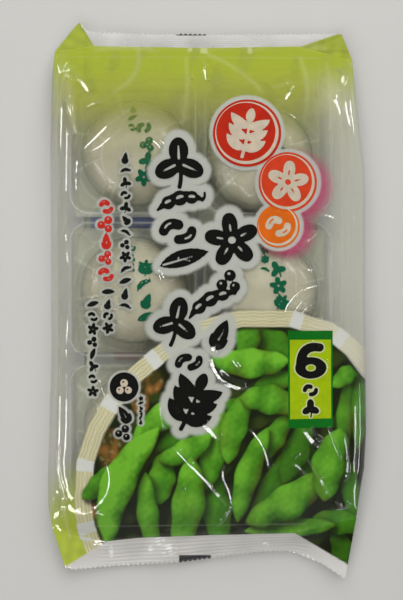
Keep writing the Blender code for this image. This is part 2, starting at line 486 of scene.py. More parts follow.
@dataclass
class FilmRelief:
    """Fine relief of the front film: placed creases, small wrinkles, slack facets and gathered corners."""

    view: PhotoView
    shape: PackShape
    creases: tuple[Crease, ...]
    rings: tuple[tuple[Place, ...], ...]
    step: float = 0.3
    half_x: float = 78.0
    half_y: float = 124.0
    wrinkle_count: int = 36
    facet_height: float = 0.28
    facet_length: float = 34.0
    gather_height: float = 0.09
    gather_count: float = 11.0
    slope_range: Point = (0.15, 1.0)
    good_slope: float = 0.2
    steep_cost: float = 0.15
    shallow_cost: float = 2.0
    excess_cost: float = 4.0
    steepness: float = 0.975
    narrow_gain: float = 0.045
    taper: float = 0.08
    seed: int = 11
    field_z: Array = field(init=False)
    slope: Pair = field(init=False)

    def __post_init__(self) -> None:
        """Work the relief out once, on a lattice over the pack."""
        xs = np.arange(-self.half_x, self.half_x + self.step, self.step)
        ys = np.arange(-self.half_y, self.half_y + self.step, self.step)
        x, y = np.meshgrid(xs, ys)
        self.field_z = self.facets(x, y) + self.gathers(x, y)
        rise_y, rise_x = np.gradient(self.shape.front_height(x, y) + self.field_z, self.step)
        self.slope = (rise_x, rise_y)
        for crease in (*self.creases, *self.wrinkles()):
            self.add_crease(x, y, crease)

    def facets(self, x: Array, y: Array) -> Array:
        """Slack film between soft folds, as noise folded at its zero line, tighter at the sides."""
        broad = -np.abs(waves(x, 0.6 * y, self.facet_length, self.seed))
        fine = -np.abs(waves(x, y, 0.45 * self.facet_length, self.seed + 1))
        left, right, _, _ = self.shape.margins(x, y)
        slack = 0.3 + 0.7 * smooth(np.minimum(left, right), 7.0, 20.0)
        return self.facet_height * slack * (broad + 0.3 * fine)

    def gathers(self, x: Array, y: Array) -> Array:
        """Folds that fan out from the four corners, where the film is tucked into its ears."""
        shape = self.shape
        total = np.zeros(x.shape)
        corners = (shape.top_fold[0], shape.top_fold[-1], shape.bottom_fold[0], shape.bottom_fold[-1])
        for index, (corner_x, corner_y) in enumerate(corners):
            away = np.hypot(x - corner_x, y - corner_y)
            turn = np.arctan2(y - corner_y, x - corner_x)
            wander = 0.06 * waves(x, y, 34.0, self.seed + 20 + index)
            fold = np.abs(np.sin(self.gather_count * (turn + wander) + index))
            total -= fold * smooth(away, 3.0, 16.0) * smooth(away, 50.0, 22.0)
        return self.gather_height * total

    def wrinkles(self) -> list[Crease]:
        """Small seeded wrinkles in every direction."""
        draw = np.random.default_rng(self.seed + 2)
        made = []
        for _ in range(self.wrinkle_count):
            px, py = draw.uniform(78, 335), draw.uniform(70, 520)
            angle = draw.uniform(0.0, 3.14)
            length = draw.uniform(4.0, 13.0)
            bend = draw.normal(0.0, 2.0)
            cos, sin = math.cos(angle), math.sin(angle)
            run = (cos * length, sin * length)
            middle = (px + 0.5 * run[0] - bend * sin, py + 0.5 * run[1] + bend * cos)
            path = ((px, py), middle, (px + run[0], py + run[1]))
            made.append(Crease(path, draw.uniform(0.5, 0.75), 0.0, draw.uniform(0.35, 0.95)))
        return made

    def mirror_slope(self, spot: Point, lamp: Place) -> Point:
        """Slope along x and y that the film needs at a spot to mirror a lamp into the camera."""
        here = Vector((*spot, self.view.print_level))
        eye = Vector((*self.view.axis, self.view.level + self.view.distance))
        halfway = (eye - here).normalized() + (Vector(lamp) - here).normalized()
        return -halfway.x / halfway.z, -halfway.y / halfway.z

    def flank(
        self, spot: Point, ahead: Point, side: float, lamps: tuple[Place, ...]
    ) -> tuple[float, float]:
        """How badly the best lamp fits one flank of a crease, and how steep that flank has to be.

        Args:
            spot: Place on the crease.
            ahead: Unit vector along it.
            side: 1 for its left flank, -1 for its right one.
            lamps: Middles of the lamps to mirror.

        Returns:
            A cost, mostly the slope that is missing along the crease, and the slope to add across it.
        """
        column = int(np.clip((spot[0] + self.half_x) / self.step, 0, self.field_z.shape[1] - 1))
        row = int(np.clip((spot[1] + self.half_y) / self.step, 0, self.field_z.shape[0] - 1))
        base = (self.slope[0][row, column], self.slope[1][row, column])
        low, high = self.slope_range
        best = (math.inf, low)
        for lamp in lamps:
            need = self.mirror_slope(spot, lamp)
            gap = (base[0] - need[0], base[1] - need[1])
            beside = side * (gap[1] * ahead[0] - gap[0] * ahead[1])
            cost = abs(gap[0] * ahead[0] + gap[1] * ahead[1]) + self.steep_cost * beside
            cost += self.shallow_cost * max(self.good_slope - beside, 0.0)
            cost += self.excess_cost * max(beside - high, 0.0)
            if cost < best[0]:
                best = (cost, min(max(beside, low), high))
        return best

    def block(self, spots: list[Point], reach: float) -> tuple[slice, slice]:
        """Rows and columns of the lattice that lie round some places."""
        cut = []
        for values, half in zip(zip(*spots), (self.half_x, self.half_y)):
            first = max(int((min(values) - reach + half) / self.step), 0)
            cut.append(slice(first, int((max(values) + reach + half) / self.step) + 2))
        return cut[1], cut[0]

    def best_side(
        self, middles: list[Point], runs: list[Point], lengths: list[float]
    ) -> tuple[float, tuple[float, ...]]:
        """Choose the flank of a crease that lies on its path.

        Args:
            middles: Middle of each straight piece of the path.
            runs: Unit vector along each piece.
            lengths: Length of each piece.

        Returns:
            1 for the left flank or -1 for the right one, and how steep it is piece by piece.
        """
        tries = []
        for side, ring in itertools.product((-1.0, 1.0), self.rings):
            costs, steeps = zip(*[self.flank(*piece, side, ring) for piece in zip(middles, runs)])
            tries.append((float(np.dot(costs, lengths)), side, steeps))
        return min(tries, key=lambda found: found[0])[1:]

    @staticmethod
    def beside_path(x: Array, y: Array, spots: list[Point]) -> Pair:
        """Follow a path over the lattice.

        Args:
            x: First coordinate of each place.
            y: Second coordinate of each place.
            spots: Corners of the path.

        Returns:
            How far to the left of the path each place lies, and the share of the path before it.
        """
        nearest, beside, travelled = np.full(x.shape, 1e9), np.zeros(x.shape), np.zeros(x.shape)
        total = sum(math.dist(a, b) for a, b in zip(spots, spots[1:]))
        done = 0.0
        for start, end in zip(spots, spots[1:]):
            away, along = segment_distance(x, y, start, end)
            closer = away < nearest
            left = (end[0] - start[0]) * (y - start[1]) - (end[1] - start[1]) * (x - start[0])
            length = math.dist(start, end)
            nearest = np.where(closer, away, nearest)
            beside = np.where(closer, np.sign(left) * away, beside)
            travelled = np.where(closer, (done + along * length) / total, travelled)
            done += length
        return beside, travelled

    def add_crease(self, x: Array, y: Array, crease: Crease) -> None:
        """Raise the lattice beside a path, with the flank on the path steep enough to mirror a lamp.

        Args:
            x: First coordinates of the lattice.
            y: Second coordinates of the lattice.
            crease: The crease to add.
        """
        spots = [self.view.place(px, py, self.view.print_level) for px, py in crease.curve()]
        width = 2.0 * crease.width
        block = self.block(spots, 1.6 * width)
        lengths = [math.dist(a, b) for a, b in zip(spots, spots[1:])]
        middles = [(0.5 * (a[0] + b[0]), 0.5 * (a[1] + b[1])) for a, b in zip(spots, spots[1:])]
        runs = [((b[0] - a[0]) / n, (b[1] - a[1]) / n) for a, b, n in zip(spots, spots[1:], lengths)]
        side, slopes = self.best_side(middles, runs, lengths)
        shares = (np.cumsum(lengths) - 0.5 * np.array(lengths)) / sum(lengths)
        beside, travelled = self.beside_path(x[block], y[block], spots)
        slopes = np.convolve(np.pad(slopes, 1, "edge"), (0.25, 0.5, 0.25), "valid")
        gain = self.steepness + self.narrow_gain / crease.width**2
        steep = np.interp(travelled, shares, slopes) * gain
        taper = smooth(travelled, 0.0, self.taper) * smooth(travelled, 1.0, 1.0 - self.taper)
        share = np.clip(np.abs(side * beside + 0.5 * width) / width, 0.0, 1.0)
        profile = (1.0 - crease.flat) * (0.5 + 0.5 * np.cos(np.pi * share)) + crease.flat * (1.0 - share)
        rise = width / ((1.0 - crease.flat) * 0.5 * np.pi + crease.flat)
        self.field_z[block] += crease.strength * taper * steep * rise * profile

    def sample(self, x: Array, y: Array) -> Array:
        """Relief at each place, fading out at the sides and at the folds."""
        column = np.clip((x + self.half_x) / self.step, 0, self.field_z.shape[1] - 2)
        row = np.clip((y + self.half_y) / self.step, 0, self.field_z.shape[0] - 2)
        c, r = column.astype(int), row.astype(int)
        s, t = column - c, row - r
        low = self.field_z[r, c] * (1 - s) + self.field_z[r, c + 1] * s
        high = self.field_z[r + 1, c] * (1 - s) + self.field_z[r + 1, c + 1] * s
        return (low * (1 - t) + high * t) * smooth(self.shape.edge_distance(x, y), 0.5, 6.0)

    def film_height(self, x: Array, y: Array) -> Array:
        """Height of the front film with its relief."""
        return self.shape.front_height(x, y) + self.sample(x, y)


class Shader:
    """Node tree of one material, with short calls for the nodes that the finishes use."""

    def __init__(self, name: str) -> None:
        """Start an empty material."""
        self.material = bpy.data.materials.new(name)
        self.material.use_nodes = True
        self.tree = self.material.node_tree
        self.tree.nodes.clear()
        self.output = self.tree.nodes.new("ShaderNodeOutputMaterial")

    def node(self, kind: str, **values: object) -> Node:
        """New node with settings or input values by name, spaces as underscores."""
        made = self.tree.nodes.new(kind)
        for key, value in values.items():
            if hasattr(made, key):
                setattr(made, key, value)
            else:
                made.inputs[key.replace("_", " ").title()].default_value = value
        return made

    def feed(self, target: Socket, value: Value) -> None:
        """Join an input to a socket, or give it a fixed value."""
        if isinstance(value, Socket):
            self.tree.links.new(value, target)
        else:
            target.default_value = value

    def sum(self, operation: str, *values: Value) -> Socket:
        """Result of a calculation with sockets and numbers."""
        made = self.node("ShaderNodeMath", operation=operation)
        for target, value in zip(made.inputs, values):
            self.feed(target, value)
        return made.outputs[0]

    def mix(self, share: Value, first: Node, second: Node) -> Node:
        """Mix of two shaders."""
        made = self.node("ShaderNodeMixShader")
        for target, value in zip(made.inputs, (share, first.outputs[0], second.outputs[0])):
            self.feed(target, value)
        return made

    def spot(self) -> Socket:
        """Place on the object."""
        return self.node("ShaderNodeTexCoord").outputs["Object"]

    def noise(self, scale: float, detail: float = 3.0) -> Socket:
        """Noise on object coordinates, in features per metre."""
        made = self.node("ShaderNodeTexNoise", Scale=scale, Detail=detail)
        self.feed(made.inputs["Vector"], self.spot())
        return made.outputs["Fac"]

    def tone(self, source: Socket, low: Colour, high: Colour, target: Socket) -> None:
        """Colour an input by a source.

        Args:
            source: Socket with values from 0 to 1.
            low: Colour at low values.
            high: Colour at high values.
            target: Input to colour.
        """
        made = self.node("ShaderNodeValToRGB")
        first, last = made.color_ramp.elements
        first.position, first.color = 0.3, (*low, 1.0)
        last.position, last.color = 0.7, (*high, 1.0)
        self.feed(made.inputs["Fac"], source)
        self.feed(target, made.outputs["Color"])

    def bump(self, source: Socket, strength: float, distance: float, target: Node) -> None:
        """Bump from a height source, on a shader's normal."""
        made = self.node("ShaderNodeBump", Strength=strength, Distance=distance)
        self.feed(made.inputs["Height"], source)
        self.feed(target.inputs["Normal"], made.outputs["Normal"])

    def slant(self, base: float) -> Socket:
        """Share of light that a thin sheet mirrors, from its base value to 1 at a grazing view."""
        facing = self.node("ShaderNodeLayerWeight", Blend=0.5).outputs["Facing"]
        return self.sum("MULTIPLY_ADD", self.sum("POWER", facing, 5.0), 1.0 - base, base)

    def finish(self, last: Node) -> Material:
        """Connect the surface and return the material."""
        self.feed(self.output.inputs["Surface"], last.outputs[0])
        return self.material


@dataclass(frozen=True)
class FilmFinish:
    """Thin clear plastic: see-through, with a gloss that grows at a slant and a trace of haze."""

    name: str
    gloss: float = 1.7
    roughness: float = 0.06
    haze: float = 0.004
    haze_colour: Colour = (0.75, 0.76, 0.74)
    painted: bool = False
    dotted: bool = False

    def make(self) -> Material:
        """Build the material; dotted paint fades in ever sparser dots instead of ever thinner ink."""
        shader = Shader(self.name)
        clear = shader.node("ShaderNodeBsdfTransparent")
        solid = shader.node("ShaderNodeBsdfDiffuse", Color=(*self.haze_colour, 1.0))
        share: Value = self.haze
        if self.painted:
            paint = shader.node("ShaderNodeVertexColor", layer_name="ink")
            shader.feed(solid.inputs["Color"], paint.outputs["Color"])
            share = paint.outputs["Alpha"]
        if self.dotted:
            dots = shader.node("ShaderNodeTexWhiteNoise")
            shader.feed(dots.inputs["Vector"], shader.spot())
            share = shader.sum("LESS_THAN", dots.outputs["Value"], share)
        body = shader.mix(share, clear, solid)
        if self.gloss <= 0.0:
            return shader.finish(body)
        gloss = shader.node("ShaderNodeBsdfGlossy", Roughness=self.roughness)
        return shader.finish(shader.mix(shader.slant(0.04 * self.gloss), body, gloss))


@dataclass(frozen=True)
class InkFinish:
    """Opaque printing ink, faintly uneven."""

    name: str
    colour: Colour
    roughness: float = 0.45
    variation: float = 0.08

    def make(self) -> Material:
        """Build the material."""
        shader = Shader(self.name)
        surface = shader.node("ShaderNodeBsdfDiffuse", Roughness=self.roughness)
        darker = tuple(c * (1.0 - self.variation) for c in self.colour)
        lighter = tuple(min(c * (1.0 + self.variation), 1.0) for c in self.colour)
        shader.tone(shader.noise(260.0), darker, lighter, surface.inputs["Color"])
        return shader.finish(surface)


@dataclass(frozen=True)
class BunFinish:
    """Soft matt steamed dough."""

    name: str = "steamed_dough"
    pale: Colour = srgb(206, 200, 172)
    deep: Colour = srgb(172, 162, 132)
    glow: float = 0.12
    glow_reach: Place = (0.004, 0.003, 0.002)

    def make(self) -> Material:
        """Build the material."""
        shader = Shader(self.name)
        surface = shader.node("ShaderNodeBsdfPrincipled", Roughness=0.55)
        surface.inputs["Subsurface Weight"].default_value = self.glow
        surface.inputs["Subsurface Radius"].default_value = self.glow_reach
        surface.inputs["Subsurface Scale"].default_value = 1.0
        shader.tone(shader.noise(70.0, 5.0), self.deep, self.pale, surface.inputs["Base Color"])
        shader.bump(shader.noise(1400.0, 4.0), 0.25, 0.0003, surface)
        return shader.finish(surface)


@dataclass(frozen=True)
class TableFinish:
    """Pale matt table."""

    name: str = "pale_table"
    colour: Colour = (0.53, 0.528, 0.512)

    def make(self) -> Material:
        """Build the material."""
        shader = Shader(self.name)
        surface = shader.node("ShaderNodeBsdfPrincipled", Roughness=0.7)
        darker = tuple(c * 0.985 for c in self.colour)
        shader.tone(shader.noise(6.0), darker, self.colour, surface.inputs["Base Color"])
        return shader.finish(surface)


@dataclass(frozen=True)
class Stroke:
    """A brush stroke on a bent path, with its half widths at start, bend and end."""

    start: Point
    bend: Point
    end: Point
    widths: tuple[float, float, float]
    pieces: int = 9

    def placed(self, centre: Point, half: Point, turn: float = 0.0, weight: float = 1.0) -> Stroke:
        """Move the stroke from the unit square to a block.

        Args:
            centre: Middle of the block.
            half: Half its width and height.
            turn: Degrees to turn it by.
            weight: How much heavier it gets.

        Returns:
            The moved stroke.
        """
        cos, sin = math.cos(math.radians(turn)), math.sin(math.radians(turn))

        def spot(point: Point) -> Point:
            """One point of the path in the block."""
            x, y = point[0] * half[0], point[1] * half[1]
            return (centre[0] + x * cos - y * sin, centre[1] + x * sin + y * cos)

        size = weight * math.sqrt(half[0] * half[1])
        widths = tuple(width * size for width in self.widths)
        return Stroke(spot(self.start), spot(self.bend), spot(self.end), widths, self.pieces)

    def distance(self, x: Array, y: Array) -> Array:
        """Distance to the stroke's edge, negative inside it."""
        knots = []
        for s in np.linspace(0.0, 1.0, self.pieces + 1):
            weights = ((1 - s) ** 2, 2 * s * (1 - s), s * s)
            values = (*zip(self.start, self.bend, self.end), self.widths)
            knots.append([sum(w * v for w, v in zip(weights, three)) for three in values])
        nearest = np.full(np.shape(x), 1e9)
        for first, last in zip(knots, knots[1:]):
            away, along = segment_distance(x, y, first[:2], last[:2])
            nearest = np.minimum(nearest, away - first[2] - along * (last[2] - first[2]))
        return nearest


def ray(turn: float, start: float, end: float, widths: tuple[float, float, float]) -> Stroke:
    """Straight stroke that runs outwards from the middle of the unit square."""
    cos, sin = math.cos(math.radians(turn)), math.sin(math.radians(turn))
    points = [(reach * cos, reach * sin) for reach in (start, 0.5 * (start + end), end)]
    return Stroke(*points, widths)


def dot(x: float, y: float, radius: float) -> Stroke:
    """Round dab."""
    return Stroke((x - 0.01, y), (x, y), (x + 0.01, y), (radius, radius, radius), 1)


@dataclass(frozen=True)
class Figure:
    """One drawn shape: brush strokes, and thinner strokes cut out of them."""

    strokes: tuple[Stroke, ...]
    gaps: tuple[Stroke, ...] = ()

    def placed(self, centre: Point, half: Point, turn: float, weight: float) -> Figure:
        """The shape moved to a block; small ones keep no gaps, because ink would fill them."""
        strokes = tuple(stroke.placed(centre, half, turn, weight) for stroke in self.strokes)
        gaps = tuple(gap.placed(centre, half, turn) for gap in self.gaps)
        return Figure(strokes, gaps if min(half) > 7.0 else ())

    def fill(self, x: Array, y: Array) -> Array:
        """Distance to the shape without its gaps."""
        return np.minimum.reduce([stroke.distance(x, y) for stroke in self.strokes])

    def distance(self, x: Array, y: Array) -> Array:
        """Distance to the shape's edge, negative inside it."""
        solid = self.fill(x, y)
        for gap in self.gaps:
            solid = np.maximum(solid, -gap.distance(x, y))
        return solid

    def box(self, margin: float) -> Bounds:
        """Lowest and highest pixels that the shape and a margin reach."""
        xs = [p[0] for s in self.strokes for p in (s.start, s.bend, s.end)]
        ys = [p[1] for s in self.strokes for p in (s.start, s.bend, s.end)]
        reach = margin + max(max(s.widths) for s in self.strokes)
        return (min(xs) - reach, min(ys) - reach, max(xs) + reach, max(ys) + reach)


class Motif(Enum):
    """Brush-drawn plant shapes in the unit square."""

    LEAF = Figure(
        (Stroke((-0.92, 0.62), (-0.1, -0.12), (0.95, -0.66), (0.03, 0.88, 0.02)),),
        (
            Stroke((-0.8, 0.52), (0.0, 0.0), (0.55, -0.4), (0.06, 0.05, 0.02)),
            Stroke((-0.22, 0.12), (-0.25, -0.1), (-0.16, -0.3), (0.045, 0.04, 0.02)),
            Stroke((0.0, -0.02), (0.15, 0.12), (0.36, 0.1), (0.045, 0.04, 0.02)),
        ),
    )
    TREFOIL = Figure(
        (
            ray(-92, 0.05, 1.0, (0.04, 0.70, 0.02)),
            ray(152, 0.05, 1.0, (0.04, 0.66, 0.02)),
            ray(24, 0.05, 1.0, (0.04, 0.66, 0.02)),
            Stroke((0.0, 0.0), (0.14, 0.5), (0.02, 0.98), (0.07, 0.07, 0.08)),
        ),
        tuple(ray(turn, 0.2, 0.78, (0.055, 0.05, 0.02)) for turn in (-92, 152, 24)),
    )
    POD = Figure(
        (
            Stroke((-0.95, 0.34), (0.0, -0.62), (0.92, 0.2), (0.05, 0.46, 0.05)),
            dot(-0.48, 0.02, 0.29),
            dot(0.0, -0.13, 0.33),
            dot(0.48, -0.05, 0.28),
            Stroke((0.88, 0.2), (1.02, 0.1), (1.02, -0.18), (0.08, 0.06, 0.05)),
        ),
        (
            Stroke((-0.58, 0.0), (-0.5, -0.08), (-0.4, -0.08), (0.06, 0.09, 0.06)),
            Stroke((-0.1, -0.16), (0.0, -0.24), (0.12, -0.2), (0.06, 0.10, 0.06)),
            Stroke((0.4, -0.12), (0.5, -0.14), (0.58, -0.06), (0.06, 0.09, 0.06)),
        ),
    )
    BEANS = Figure(
        (
            Stroke((-0.68, -0.02), (-0.5, -0.62), (0.02, -0.4), (0.26, 0.30, 0.26)),
            Stroke((0.02, 0.52), (0.62, 0.5), (0.66, -0.02), (0.24, 0.28, 0.24)),
        ),
        (
            Stroke((-0.62, -0.2), (-0.54, -0.44), (-0.36, -0.5), (0.05, 0.07, 0.05)),
            Stroke((0.34, 0.46), (0.56, 0.4), (0.62, 0.22), (0.05, 0.07, 0.05)),
        ),
    )
    BLOSSOM = Figure(
        tuple(ray(72 * petal - 90, 0.2, 0.80, (0.10, 0.40, 0.26)) for petal in range(5)),
        (
            dot(0.0, 0.0, 0.14),
            *(ray(72 * petal - 90, 0.36, 0.62, (0.03, 0.055, 0.02)) for petal in range(5)),
        ),
    )
    BUD = Figure(
        (
            Stroke((0.0, 0.5), (0.0, 0.0), (0.0, -0.95), (0.40, 0.62, 0.02)),
            Stroke((-0.62, 0.2), (-0.5, 0.9), (0.0, 0.92), (0.03, 0.20, 0.10)),
            Stroke((0.62, 0.2), (0.5, 0.9), (0.0, 0.92), (0.03, 0.20, 0.10)),
        ),
        (Stroke((0.0, 0.4), (0.12, -0.1), (0.0, -0.5), (0.06, 0.05, 0.02)),),
    )
    BERRIES = Figure(
        (dot(-0.45, 0.38, 0.40), dot(0.48, 0.36, 0.38), dot(0.0, -0.44, 0.42)),
        (dot(-0.55, 0.28, 0.10), dot(0.38, 0.26, 0.10), dot(-0.1, -0.56, 0.11)),
    )
    FROND = Figure(
        (
            Stroke((0.0, 0.98), (0.08, 0.1), (0.0, -0.6), (0.07, 0.07, 0.03)),
            Stroke((0.0, -0.45), (0.0, -0.7), (0.0, -1.0), (0.04, 0.36, 0.02)),
            *(
                Stroke((0.0, base), (side * 0.45, base), (side * 0.88, base - 0.42), (0.04, 0.40, 0.02))
                for base in (0.62, 0.18, -0.26)
                for side in (-1.0, 1.0)
            ),
        ),
    )


@dataclass(frozen=True)
class Mark:
    """A motif set in one block of the print."""

    motif: Motif
    centre_px: Point
    half_px: Point
    turn: float = 0.0
    weight: float = 1.0

    def figure(self) -> Figure:
        """The motif in place."""
        return self.motif.value.placed(self.centre_px, self.half_px, self.turn, self.weight)


class FigureSet:
    """Many figures as one shape, tried only near each of them."""

    def __init__(self, marks: list[Mark] | tuple[Mark, ...], reach: float = 14.0) -> None:
        """Place the marks and keep how far from them the distance is wanted."""
        self.figures = [mark.figure() for mark in marks]
        self.reach = reach

    def distance(self, x: Array, y: Array, whole: bool = False) -> Array:
        """Distance to the nearest figure, negative inside one.

        Args:
            x: First coordinate of each place.
            y: Second coordinate of each place.
            whole: Whether the gaps count as filled.

        Returns:
            The distance at each place, at most the reach.
        """
        nearest = np.full(np.shape(x), self.reach)
        for figure in self.figures:
            low_x, low_y, high_x, high_y = figure.box(self.reach)
            close = (x > low_x) & (x < high_x) & (y > low_y) & (y < high_y)
            if close.any():
                found = figure.fill if whole else figure.distance
                nearest[close] = np.minimum(nearest[close], found(x[close], y[close]))
        return nearest

    def box(self, margin: float = 2.0) -> Bounds:
        """Lowest and highest pixels that the figures reach."""
        boxes = np.array([figure.box(margin) for figure in self.figures])
        return (*boxes[:, :2].min(axis=0), *boxes[:, 2:].max(axis=0))


@dataclass(frozen=True)
class Stencil:
    """A crisp area of ink, cut from a grid along a contour and laid under the film."""

    name: str
    box_px: Bounds
    distance: Distance
    depth: float
    ink: InkFinish
    step_px: float = 1.0

    def gradient(self, px: Array, py: Array) -> Pair:
        """Slope of the distance."""
        reach = 0.2
        slope_x = self.distance(px + reach, py) - self.distance(px - reach, py)
        slope_y = self.distance(px, py + reach) - self.distance(px, py - reach)
        return slope_x / (2 * reach), slope_y / (2 * reach)

    def snap(self, px: Array, py: Array) -> Pair:
        """Pull the points outside the contour onto it."""
        for _ in range(3):
            slope_x, slope_y = self.gradient(px, py)
            steep = np.maximum(slope_x**2 + slope_y**2, 0.2)
            beyond = np.maximum(self.distance(px, py), 0.0)
            px = px - beyond * slope_x / steep
            py = py - beyond * slope_y / steep
        return px, py

    def make(self, height: Distance, view: PhotoView, level: float) -> Piece:
        """Cut the shape and lay it on a surface.

        Args:
            height: Height of the surface that it lies under, for x and y in millimetres.
            view: The view whose pixels the shape is drawn in.
            level: Height at which the pixels are turned into places.

        Returns:
            The new object.
        """
        low_x, low_y, high_x, high_y = self.box_px
        grid = bmesh.new()
        bmesh.ops.create_grid(
            grid,
            x_segments=max(int((high_x - low_x) / self.step_px), 2),
            y_segments=max(int((high_y - low_y) / self.step_px), 2),
            size=1.0,
        )
        verts = list(grid.verts)
        flat = np.array([tuple(vert.co) for vert in verts])
        px = low_x + 0.5 * (flat[:, 0] + 1.0) * (high_x - low_x)
        py = high_y - 0.5 * (flat[:, 1] + 1.0) * (high_y - low_y)
        inner = dict(zip(verts, self.distance(px, py) < 0.0))
        spare = [face for face in grid.faces if not any(inner[vert] for vert in face.verts)]
        bmesh.ops.delete(grid, geom=spare, context="FACES")
        x, y = view.place(*self.snap(px, py), level)
        z = height(x, y) - self.depth
        for index, vert in enumerate(verts):
            if vert.is_valid:
                vert.co = (x[index] * MM, y[index] * MM, z[index] * MM)
        mesh = bpy.data.meshes.new(self.name)
        grid.to_mesh(mesh)
        grid.free()
        return SheetMaker.show(self.name, mesh, self.ink)


class Canvas:
    """Ink painted on the points of a sheet, placed in the photograph's pixels or in millimetres."""

    def __init__(self, px: Array, py: Array) -> None:
        """Start with no ink."""
        self.px = px
        self.py = py
        self.rgb = np.zeros((len(px), 3))
        self.cover = np.zeros(len(px))

    def lay(self, colour: Colour | Array, cover: Array) -> None:
        """Lay a colour over what is there, as opaque as cover says at each point."""
        cover = np.clip(cover, 0.0, 1.0)
        below = self.cover * (1.0 - cover)
        total = cover + below
        mixed = np.asarray(colour) * cover[:, None] + self.rgb * below[:, None]
        self.rgb = mixed / np.maximum(total, 1e-6)[:, None]
        self.cover = total


@dataclass(frozen=True)
class Pod:
    """One plump bean pod of the printed basket."""

    centre: Point
    half_length: float
    half_width: float
    turn: float
    bend: float
    tone: float
    over_rim: bool = False
    bright: Colour = srgb(112, 178, 48)
    middle: Colour = srgb(70, 132, 28)
    deep: Colour = srgb(34, 58, 12)
    olive: Colour = srgb(92, 92, 26)
    shadow: Colour = srgb(22, 30, 10)
    tip: Colour = srgb(92, 74, 28)

    def shape(self, px: Array, py: Array) -> Places:
        """How far along and beside the pod each place is, and the pod's half width there."""
        angle = math.radians(self.turn)
        dx, dy = px - self.centre[0], py - self.centre[1]
        along = (dx * math.cos(angle) + dy * math.sin(angle)) / self.half_length
        side = dy * math.cos(angle) - dx * math.sin(angle) - self.bend * (along**2 - 0.4)
        inner = np.clip(1.0 - np.abs(along) ** 2.2, 0.0, 1.0) ** 0.75
        return along, side, self.half_width * inner * (1.0 + 0.07 * np.cos(8.6 * along)) + 0.01

    def paint(self, canvas: Canvas, region: Array) -> None:
        """Lay the pod and the shade that it throws on those below it.

        Args:
            canvas: Where it is laid.
            region: How much of it shows at each point, from 0 to 1.
        """
        angle = math.radians(self.turn)
        along, side, width = self.shape(canvas.px - 3.0, canvas.py - 3.5)
        shade = smooth(np.abs(side) - width, 8.0, -3.0) * smooth(np.abs(along), 1.12, 0.92)
        canvas.lay(self.shadow, 0.85 * shade * region)
        along, side, width = self.shape(canvas.px, canvas.py)
        share = np.clip(side / width, -1.0, 1.0)
        body = smooth(np.abs(side) - width, 0.7, -0.7) * (np.abs(along) < 1.0)
        facing = share * (0.6 * math.sin(angle) - 0.8 * math.cos(angle))
        light = 0.20 + 0.52 * np.sqrt(1.0 - share**2) + 0.30 * facing + 0.08 * np.cos(8.6 * along)
        px, py = canvas.px, canvas.py
        light += 0.035 * waves(px, py, 6.0, 31, 11) + 0.08 * waves(px, py, 30.0, 33)
        light = np.clip(light * self.tone - 0.12 * smooth(along, 0.2, 1.0), 0.0, 1.0)
        colour = blend(self.deep, self.middle, np.minimum(2 * light, 1))
        colour = blend(colour, self.bright, np.maximum(2 * light - 1, 0))
        worn = waves(px, py, 46.0, 35) + 1.5 * np.abs(share) ** 3 + 0.8 * np.abs(along) ** 4
        colour = blend(colour, self.olive, 0.40 * smooth(worn, 0.6, 2.4) * (1.0 - 0.6 * light))
        canvas.lay(colour, body * region)
        canvas.lay(self.tip, 0.6 * body * region * smooth(along, 0.90, 0.99))


